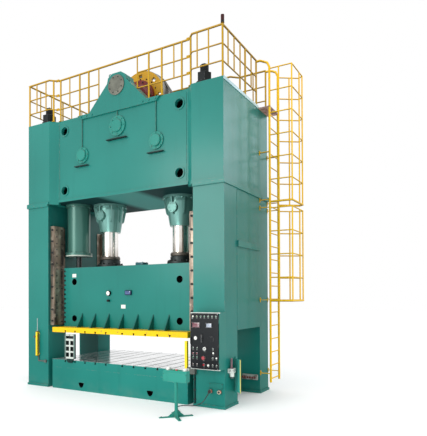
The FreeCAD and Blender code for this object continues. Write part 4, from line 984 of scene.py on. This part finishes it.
def gloss(name, colour, deep):
    """Moulded plastic or glass: clear gloss, slow shade drift and hairline scratches."""
    material, place = start(name)
    drift = place.cloud(22, 2)
    scratch = place.stretch(1, 1, 14).cloud(60, 2).fade(0.68, 0.74)
    coat(place, drift.blend(colour, deep), 0.14 + scratch * 0.3, place.cloud(160, 2), 0.0001,
         Coat_Weight=0.6, Coat_Roughness=0.06)
    return material


counter, screen = bmesh.new(), bmesh.new()
block(counter, (2.1075, -1.3330, 1.5185), (2.2575, -1.3308, 1.6035), 0.001)
solid("counter_display", counter, "panel_door",
      glow("counter_red", tone(40, 20, 28), tone(134, 66, 80), 0.08, 50))
block(screen, (2.4045, -1.3330, 1.5245), (2.5095, -1.3308, 1.5925), 0.001)
solid("grey_screen", screen, "panel_door",
      glow("screen_grey", tone(112, 122, 138), tone(156, 164, 178), 0.12, 0))


def dial_marks(shape, centre, inner, outer, half):
    """Eleven marks round three quarters of a dial that faces the front."""
    for step in range(11):
        way, cross = spoke(math.radians(225 - 27 * step))
        cross = cross * half
        shape.faces.new([shape.verts.new(Vector(centre) + corner) for corner in (
            way * inner - cross, way * outer - cross, way * outer + cross, way * inner + cross)])


fittings, marks = bmesh.new(), bmesh.new()
dial_marks(marks, (meter_across, -1.3407, meter_level), 0.020, 0.027, 0.0012)
block(marks, (2.1770, -1.3416, 1.3190), (2.1790, -1.3404, 1.3430), 0.0004)
lathe(fittings, [(0.0325, 0.0), (0.037, 0.0), (0.037, 0.014), (0.034, 0.017), (0.0325, 0.017)],
      (meter_across, door_face, meter_level), "-Y", 36)
for x, z in ((2.080, 1.765), (2.634, 1.765), (2.080, 0.774), (2.634, 0.774)):
    bolt(fittings, (x, door_face, z), "-Y", 0.012, 0.006)
for left, right, low, high in ((2.099, 2.266, 1.510, 1.612), (2.397, 2.517, 1.517, 1.600)):
    for x in (left + 0.004, right - 0.004):
        for z in (low + 0.004, high - 0.004):
            bolt(fittings, (x, -1.3360, z), "-Y", 0.006, 0.003, False)
lathe(fittings, [(0.0, 0.0), (0.015, 0.0), (0.015, 0.010), (0.010, 0.012), (0.010, 0.018), (0.0, 0.018)],
      (2.112, door_face, 1.690), "-Y", 20)
solid("door_fittings", fittings, "panel_door",
      forged("door_chrome", tone(176, 178, 178), 0.18))
solid("meter_marks", marks, "panel_door",
      rubber("meter_ink", tone(26, 26, 28), tone(60, 60, 60)))

tags = bmesh.new()
tag_places = [(2.119 + 0.0805 * k, 1.690) for k in range(1, 7)]
tag_places += [(x, z) for x in (2.119, 2.203) for z in (1.106, 1.011, 0.937, 0.808)]
tag_places += [(2.344, 0.912), (2.352, 0.802), (2.444, 0.796), (selector_across, 1.080), (2.538, 1.107),
               (2.544, 1.030), (2.530, 0.937), (2.609, 0.940), (2.530, 0.808), (2.609, 0.808)]
for x, z in tag_places:
    block(tags, (x - 0.016, -1.3278, z - 0.006), (x + 0.016, -1.3261, z + 0.006), 0.0006)
solid("blank_tags", tags, "panel_door",
      gloss("tag_white", tone(92, 94, 92), tone(74, 76, 74)))

handle = bmesh.new()
block(handle, (2.2900, -1.3440, 1.2400), (2.3220, -1.3262, 1.3900), 0.004)
lathe(handle, [(0.0, 0.0), (0.012, 0.0), (0.012, 0.004), (0.0, 0.005)],
      (2.306, -1.3438, 1.370), "-Y", 20)
block(handle, (2.2960, -1.3560, 1.2480), (2.3160, -1.3440, 1.3480), 0.005)
solid("door_handle", handle, "panel_door", forged("handle_zinc", tone(52, 54, 56)))


def lamp_glass(place, shade, rough, metal):
    """White, green and red lenses in chromed rings."""
    x, y, z = place.axes()
    bezel = y > -1.3305
    row = x.fade(2.07, 2.65).bands(
        (0.0, tone(238, 236, 224)), (0.16, tone(112, 132, 104)), (0.30, tone(92, 122, 104)),
        (0.58, tone(128, 150, 134)), (0.86, tone(108, 136, 120)))
    column = z.fade(0.80, 1.17).bands((0.0, tone(92, 78, 78)), (0.30, tone(72, 108, 90)),
                                      (0.55, tone(128, 66, 78)), (0.80, tone(76, 92, 82)))
    right = (x > 2.5) * (z < 1.2)
    lit = z.near(1.050, 0.035).either((x > 2.57) * z.near(0.965, 0.035))
    white = lit.blend(tone(104, 112, 108), tone(232, 234, 230))
    glass = (z > 1.5).blend(right.blend(column, white), row)
    return bezel.blend(glass, tone(160, 162, 160)), rough * 0.4, bezel * 0.9


cover(enamel("lamp_lenses", tone(200, 200, 196), lamp_glass, 0.2, 0.9), "panel_lamps")
cover(gloss("button_red", tone(168, 18, 40), tone(132, 12, 30)), "emergency_stop", "stop_button")
button_white = gloss("button_white", tone(236, 236, 230), tone(206, 206, 200))
cover(button_white, "start_button")


def selector_face(place, shade, rough, metal):
    """A dark centre in the selector's white knob."""
    out = place.stretch(1, 0, 1).distance((selector_across, 0, selector_level))
    return (out < 0.012).blend(shade, tone(34, 36, 40)), rough, metal


cover(enamel("selector_knob", tone(226, 228, 224), selector_face, 0.3, 0.9), "mode_selector")


# ---------------------------------------------------------------- two-hand stand
# A cross of tapered feet with a tube mast carries a folded box. Two big white palm buttons sit inside
# their collars, so that both hands are on them, with a pilot lamp and two small ones between.

def stand_top(place, shade, rough, metal):
    """Pale collars and pilot lamps on the box's lid."""
    lid = place.along("Z") > 0.8035
    off_centre = abs(place.along("X") - mast_across)
    lens = (off_centre < 0.025).blend(tone(64, 150, 80), tone(190, 40, 36))
    shade = (lid * (off_centre < 0.10)).blend(lid.blend(shade, tone(206, 210, 206)), lens)
    return shade, rough * (1 - lid * 0.4), metal


stand_enamel = enamel("stand_enamel", tone(38, 130, 116), stand_top)
cover(stand_enamel, "stand_box", "stand_frame")
cover(button_white, "left_palm_button", "right_palm_button")
stand_bolts, hoods = bmesh.new(), bmesh.new()
bolt_circle(stand_bolts, (mast_across, -1.920, 0.0139), 0.265, 4, "Z", 0.019, 0.012, math.pi / 4)
for x in (-0.225, 0.225):
    for z in (0.632, 0.745):
        bolt(stand_bolts, (mast_across + x, -1.9799, z), "-Y", 0.010, 0.005)
blacked("stand_screws", stand_bolts)
for x in (1.9060, 2.2580):
    block(hoods, (x, -1.8610, 0.8030), (x + 0.1020, -1.8560, 0.8420), 0.002)
solid("palm_guards", hoods, "frame", stand_enamel)


# ---------------------------------------------------------------- sockets on the front of the upright
# Two flanged machine sockets with red shells, one in use, under a blank terminal cover. A conduit runs
# down the edge of the leg, its black partly painted shade for the gap there.

def socket_shells(place, shade, rough, metal):
    """Red shells whose front rims are painted pale as a highlight, green plates and cover, and a black
    conduit whose black is partly painted shade.
    """
    x, y, z = place.axes()
    shell = (y < -1.0735) * (z < 0.36) * (x > 2.1)
    # rim: the shells' front, painted pale as a highlight.
    rim = shell * (y < -1.1060)
    # The conduit's black is partly painted shade for the dark gap between bed and leg.
    shade = (x < 2.1).blend(shade, tone(10, 14, 15))
    shade = rim.blend(shell.blend(shade, tone(188, 56, 36)), tone(236, 216, 190))
    return shade, rough * (1 - shell * 0.4), metal * (1 - shell)


cover(enamel("socket_enamel", tone(26, 112, 102), socket_shells, 0.34, 0.7), "cable_sockets")
caps = bmesh.new()
for x in (socket_across, spare_across):
    for shift in (-0.034, 0.034):
        for level in (0.281, 0.349):
            bolt(caps, (x + shift, -1.0729, level), "-Y", 0.009, 0.005)
for x, z in ((2.337, 0.384), (2.593, 0.384), (2.337, 0.458), (2.593, 0.458)):
    bolt(caps, (x, -1.0809, z), "-Y", 0.012, 0.006)
lathe(caps, [(0.0, 0.0), (0.024, 0.0), (0.024, 0.004), (0.010, 0.006), (0.008, 0.010), (0.0, 0.011)],
      (spare_across, -1.1139, socket_level), "-Y", 24)
for level in (0.12, 0.30, 0.50):
    block(caps, (1.983, -1.0930, level), (2.029, -1.0655, level + 0.022), 0.002)
blacked("socket_screws_and_clips", caps)


# ---------------------------------------------------------------- light curtains
# A sender and a receiver in yellow extrusions, one each side of the opening, with a dark window down
# the face that looks across the tool. Their leads leave at the ends.

def curtain_parts(place, shade, rough, metal):
    """Grey leads, boxes and arms, and dark end caps."""
    x, _, z = place.axes()
    grey = ((x > -2.24) * (x < -1.9)).either((x > 1.871) + (z < 0.6995) * (x < 0)).either(x < -2.35)
    caps = (abs(z - 0.9945) > 0.276) * (x < 0) * (z > 0.700)
    return grey.blend(caps.blend(shade, tone(40, 42, 40)), tone(88, 92, 88)), rough + grey * 0.1, metal


cover(enamel("curtain_yellow", tone(244, 206, 34), curtain_parts, 0.34, under=tone(120, 110, 80)),
      "light_curtain_bars")
windows, aerial = bmesh.new(), bmesh.new()
bar_along = -1.1175
block(windows, (-2.2552, -1.1350, 0.735), (-2.2535, -1.1000, 1.255), 0.0006)
block(windows, (1.8185, -1.1350, 0.655), (1.8202, -1.1000, 1.200), 0.0006)
for level in (0.76, 0.90, 1.04, 1.18):
    lathe(windows, [(0.0, 0.0), (0.006, 0.0), (0.005, 0.002), (0.0, 0.003)],
          (-2.2536, bar_along, level), "X", 12)
solid("curtain_windows", windows, "frame",
      gloss("window_smoke", tone(30, 26, 34), tone(14, 12, 18)))
lathe(aerial, [(0.0, 0.0), (0.012, 0.0), (0.012, 0.020), (0.006, 0.026), (0.005, 0.30), (0.0, 0.302)],
      (-2.280, bar_along, 1.288), "Z", 12)
solid("curtain_aerial_lead", aerial, "frame",
      rubber("lead_grey", tone(190, 188, 184), tone(120, 118, 112)))


# ---------------------------------------------------------------- guard door, air unit and safety prop
# A folded plate on two knuckles screens the service corner; its free edge is yellow. Beside it hang
# the air filter with its riser, and the valve manifold. The prop that blocks the slide is a cast frame,
# painted white, in front of a black sheet that is painted shade for the dark seen through its gaps.

def guard_edge(place, shade, rough, metal):
    """A yellow stripe down the free edge."""
    free = place.along("X").fade(2.8265, 2.8275)
    return free.blend(shade, tone(206, 200, 120)), rough, metal


# The door is a lighter green than the frame: painted light for a door that stands in the upright's
# shade.
cover(enamel("guard_enamel", tone(76, 180, 168), guard_edge), "side_guard_door")


def air_parts(place, shade, rough, metal):
    """Cast block with its bowl, pink riser and the stained grey manifold."""
    _, y, z = place.axes()
    bowl, sump, riser = (mask * (y < 0) for mask in (z < 0.652, z < 0.585, z > 0.737))
    grime = (y > 0.2) * (0.5 + place.cloud(9, 4).fade(0.45, 0.6) * 0.5)
    shade = sump.blend(grime.blend(shade, tone(112, 108, 102)), tone(70, 90, 88))
    return riser.blend(shade, tone(132, 104, 112)), rough * (1 - bowl * 0.5), metal


cover(enamel("valve_enamel", tone(216, 222, 216), air_parts), "air_service_unit")
gauge, knobs = bmesh.new(), bmesh.new()
lathe(gauge, [(0.0, 0.0), (0.030, 0.0), (0.030, 0.018), (0.026, 0.022), (0.026, 0.019), (0.0, 0.019)],
      (2.7332, -0.870, 0.700), "X", 28)
lathe(gauge, [(0.0, 0.0), (0.016, 0.0), (0.018, 0.010), (0.018, 0.024), (0.0, 0.028)],
      (2.693, -0.9452, 0.700), "-Y", 16)
solid("air_gauge_and_regulator", gauge, "frame",
      forged("gauge_zinc", tone(176, 180, 178), 0.25))
for step in range(6):
    lathe(knobs, [(0.0, 0.0), (0.022, 0.0), (0.022, 0.008), (0.014, 0.012), (0.012, 0.020),
                  (0.0, 0.021)], (2.270 + 0.058 * step, 0.4949, 0.340), "-Y", 16)
solid("manifold_knobs", knobs, "frame",
      gloss("knob_red", tone(128, 62, 58), tone(98, 48, 46)))


def prop_edges(place, shade, rough, metal):
    """White stem and rungs with dark teal outer bars; its foot is darkened and the walls of its gaps
    carry painted shade.
    """
    x, y, z = place.axes()
    # Painted shade on the walls of the gaps; the foot is darkened too.
    dark = (y > -1.1045).either(z < 0.700)
    bars = abs(x + 1.249) > 0.118
    shade = (bars * 0.8).blend(shade, tone(40, 84, 78))
    return dark.blend(shade, tone(20, 46, 44)), rough + dark * 0.1, metal


cover(enamel("prop_white", tone(188, 196, 190), prop_edges, 0.4, 0.42, tone(128, 108, 84)),
      "safety_prop")
prop_screws, shade_sheet = bmesh.new(), bmesh.new()
for x, z in ((-1.384, 0.722), (-1.114, 0.722), (-1.384, 1.230), (-1.114, 1.230), (-1.249, 1.230)):
    bolt(prop_screws, (x, -1.1049, z), "-Y", 0.018, 0.010)
blacked("prop_screws", prop_screws)
# A black sheet behind the prop: painted shade for the dark seen through its gaps.
block(shade_sheet, (-1.398, -1.0695, 0.708), (-1.100, -1.0665, 1.244), 0.001)
blacked("prop_shade_sheet", shade_sheet)


# ---------------------------------------------------------------- instruments on the slide
# An air gauge with a plain dial, a regulator knob, a height counter behind blue glass and two blank
# plates, all on the slide's front.

gauge_across, gauge_level = -0.402, 2.165


def instrument_parts(place, shade, rough, metal):
    """White dial, black knob, blue counter, pale plates."""
    x, y, z = place.axes()
    dial = x.near(gauge_across, 0.046) * z.near(gauge_level, 0.046) * (y < -0.793)
    knob = x.near(gauge_across, 0.03) * (z < 2.08)
    plates = (z < 1.95).either(z > 2.5)
    shade = (x > 0.065).blend(shade, tone(22, 34, 66))
    shade = plates.blend(knob.blend(shade, tone(16, 18, 18)), tone(222, 222, 214))
    return dial.blend(shade, tone(240, 240, 236)), rough * 0.7, metal


cover(enamel("instrument_shells", tone(150, 152, 150), instrument_parts, 0.4, 0.8), "slide_instruments")
dial, glass = bmesh.new(), bmesh.new()
lathe(dial, [(0.0525, 0.0), (0.058, 0.0), (0.058, 0.040), (0.054, 0.047), (0.048, 0.047),
             (0.048, 0.0445), (0.0525, 0.0445), (0.0525, 0.0)],
      (gauge_across, -0.7502, gauge_level), "-Y", 40)
dial_marks(dial, (gauge_across, -0.7946, gauge_level), 0.034, 0.044, 0.0016)
block(dial, (-0.4035, -0.7956, 2.158), (-0.4005, -0.7944, 2.196), 0.0005)
blacked("gauge_rim_and_marks", dial, "slide_body")
block(glass, (0.082, -0.7922, 2.140), (0.219, -0.7901, 2.205), 0.0008)
solid("height_counter_glass", glass, "slide_body",
      glow("counter_blue", tone(14, 24, 58), tone(70, 96, 150), 0.15, 40))


# ---------------------------------------------------------------- floor and light
# A pale seamless floor, a bright even surround, a broad key from the front left and softer panels
# from the right, from low in front and from above.

ground = bpy.data.meshes.new("ground")
ground.from_pydata([(-60, -60, 0), (60, -60, 0), (60, 60, 0), (-60, 60, 0)], [], [(0, 1, 2, 3)])
floor = bpy.data.objects.new("ground", ground)
bpy.context.scene.collection.objects.link(floor)
floor_finish, floor_place = start("pale_floor")
mottle = floor_place.cloud(0.8, 3)
coat(floor_place, mottle.blend(tone(254, 254, 254), tone(249, 250, 251)), 0.7, floor_place.cloud(30, 2),
     0.0004, Emission_Color=(1.0, 1.0, 1.0), Emission_Strength=0.05)
ground.materials.append(floor_finish)

surround = bpy.data.worlds.new("surround")
surround.use_nodes = True
surround.node_tree.nodes["Background"].inputs["Color"].default_value = (1.0, 1.0, 1.0, 1)
surround.node_tree.nodes["Background"].inputs["Strength"].default_value = 1.0
bpy.context.scene.world = surround
for name, spot, aim, size, power, hue in (
        ("key", (-3.5, -13.0, 6.0), (0, 0, 1.6), 6.0, 650, (1.0, 0.98, 0.95)),
        ("right", (9.5, 10.5, 9.5), (2.5, 0, 5.0), 4.5, 230, (0.78, 0.92, 1.0)),
        ("low", (1.2, -7.0, 1.4), (0.6, 0, 0.8), 3.0, 90, (0.96, 1.0, 1.0)),
        ("top", (2.0, -3.0, 14.0), (0, 0, 5.0), 8.0, 200, (1.0, 1.0, 1.0))):
    light = bpy.data.lights.new(name, "AREA")
    light.shape, light.size, light.energy, light.color = "SQUARE", size, power, hue
    panel = bpy.data.objects.new(name, light)
    panel.location = spot
    panel.visible_camera = False
    panel.rotation_euler = (Vector(aim) - Vector(spot)).to_track_quat("-Z", "Y").to_euler()
    bpy.context.scene.collection.objects.link(panel)
bpy.context.scene.view_settings.view_transform = "Standard"
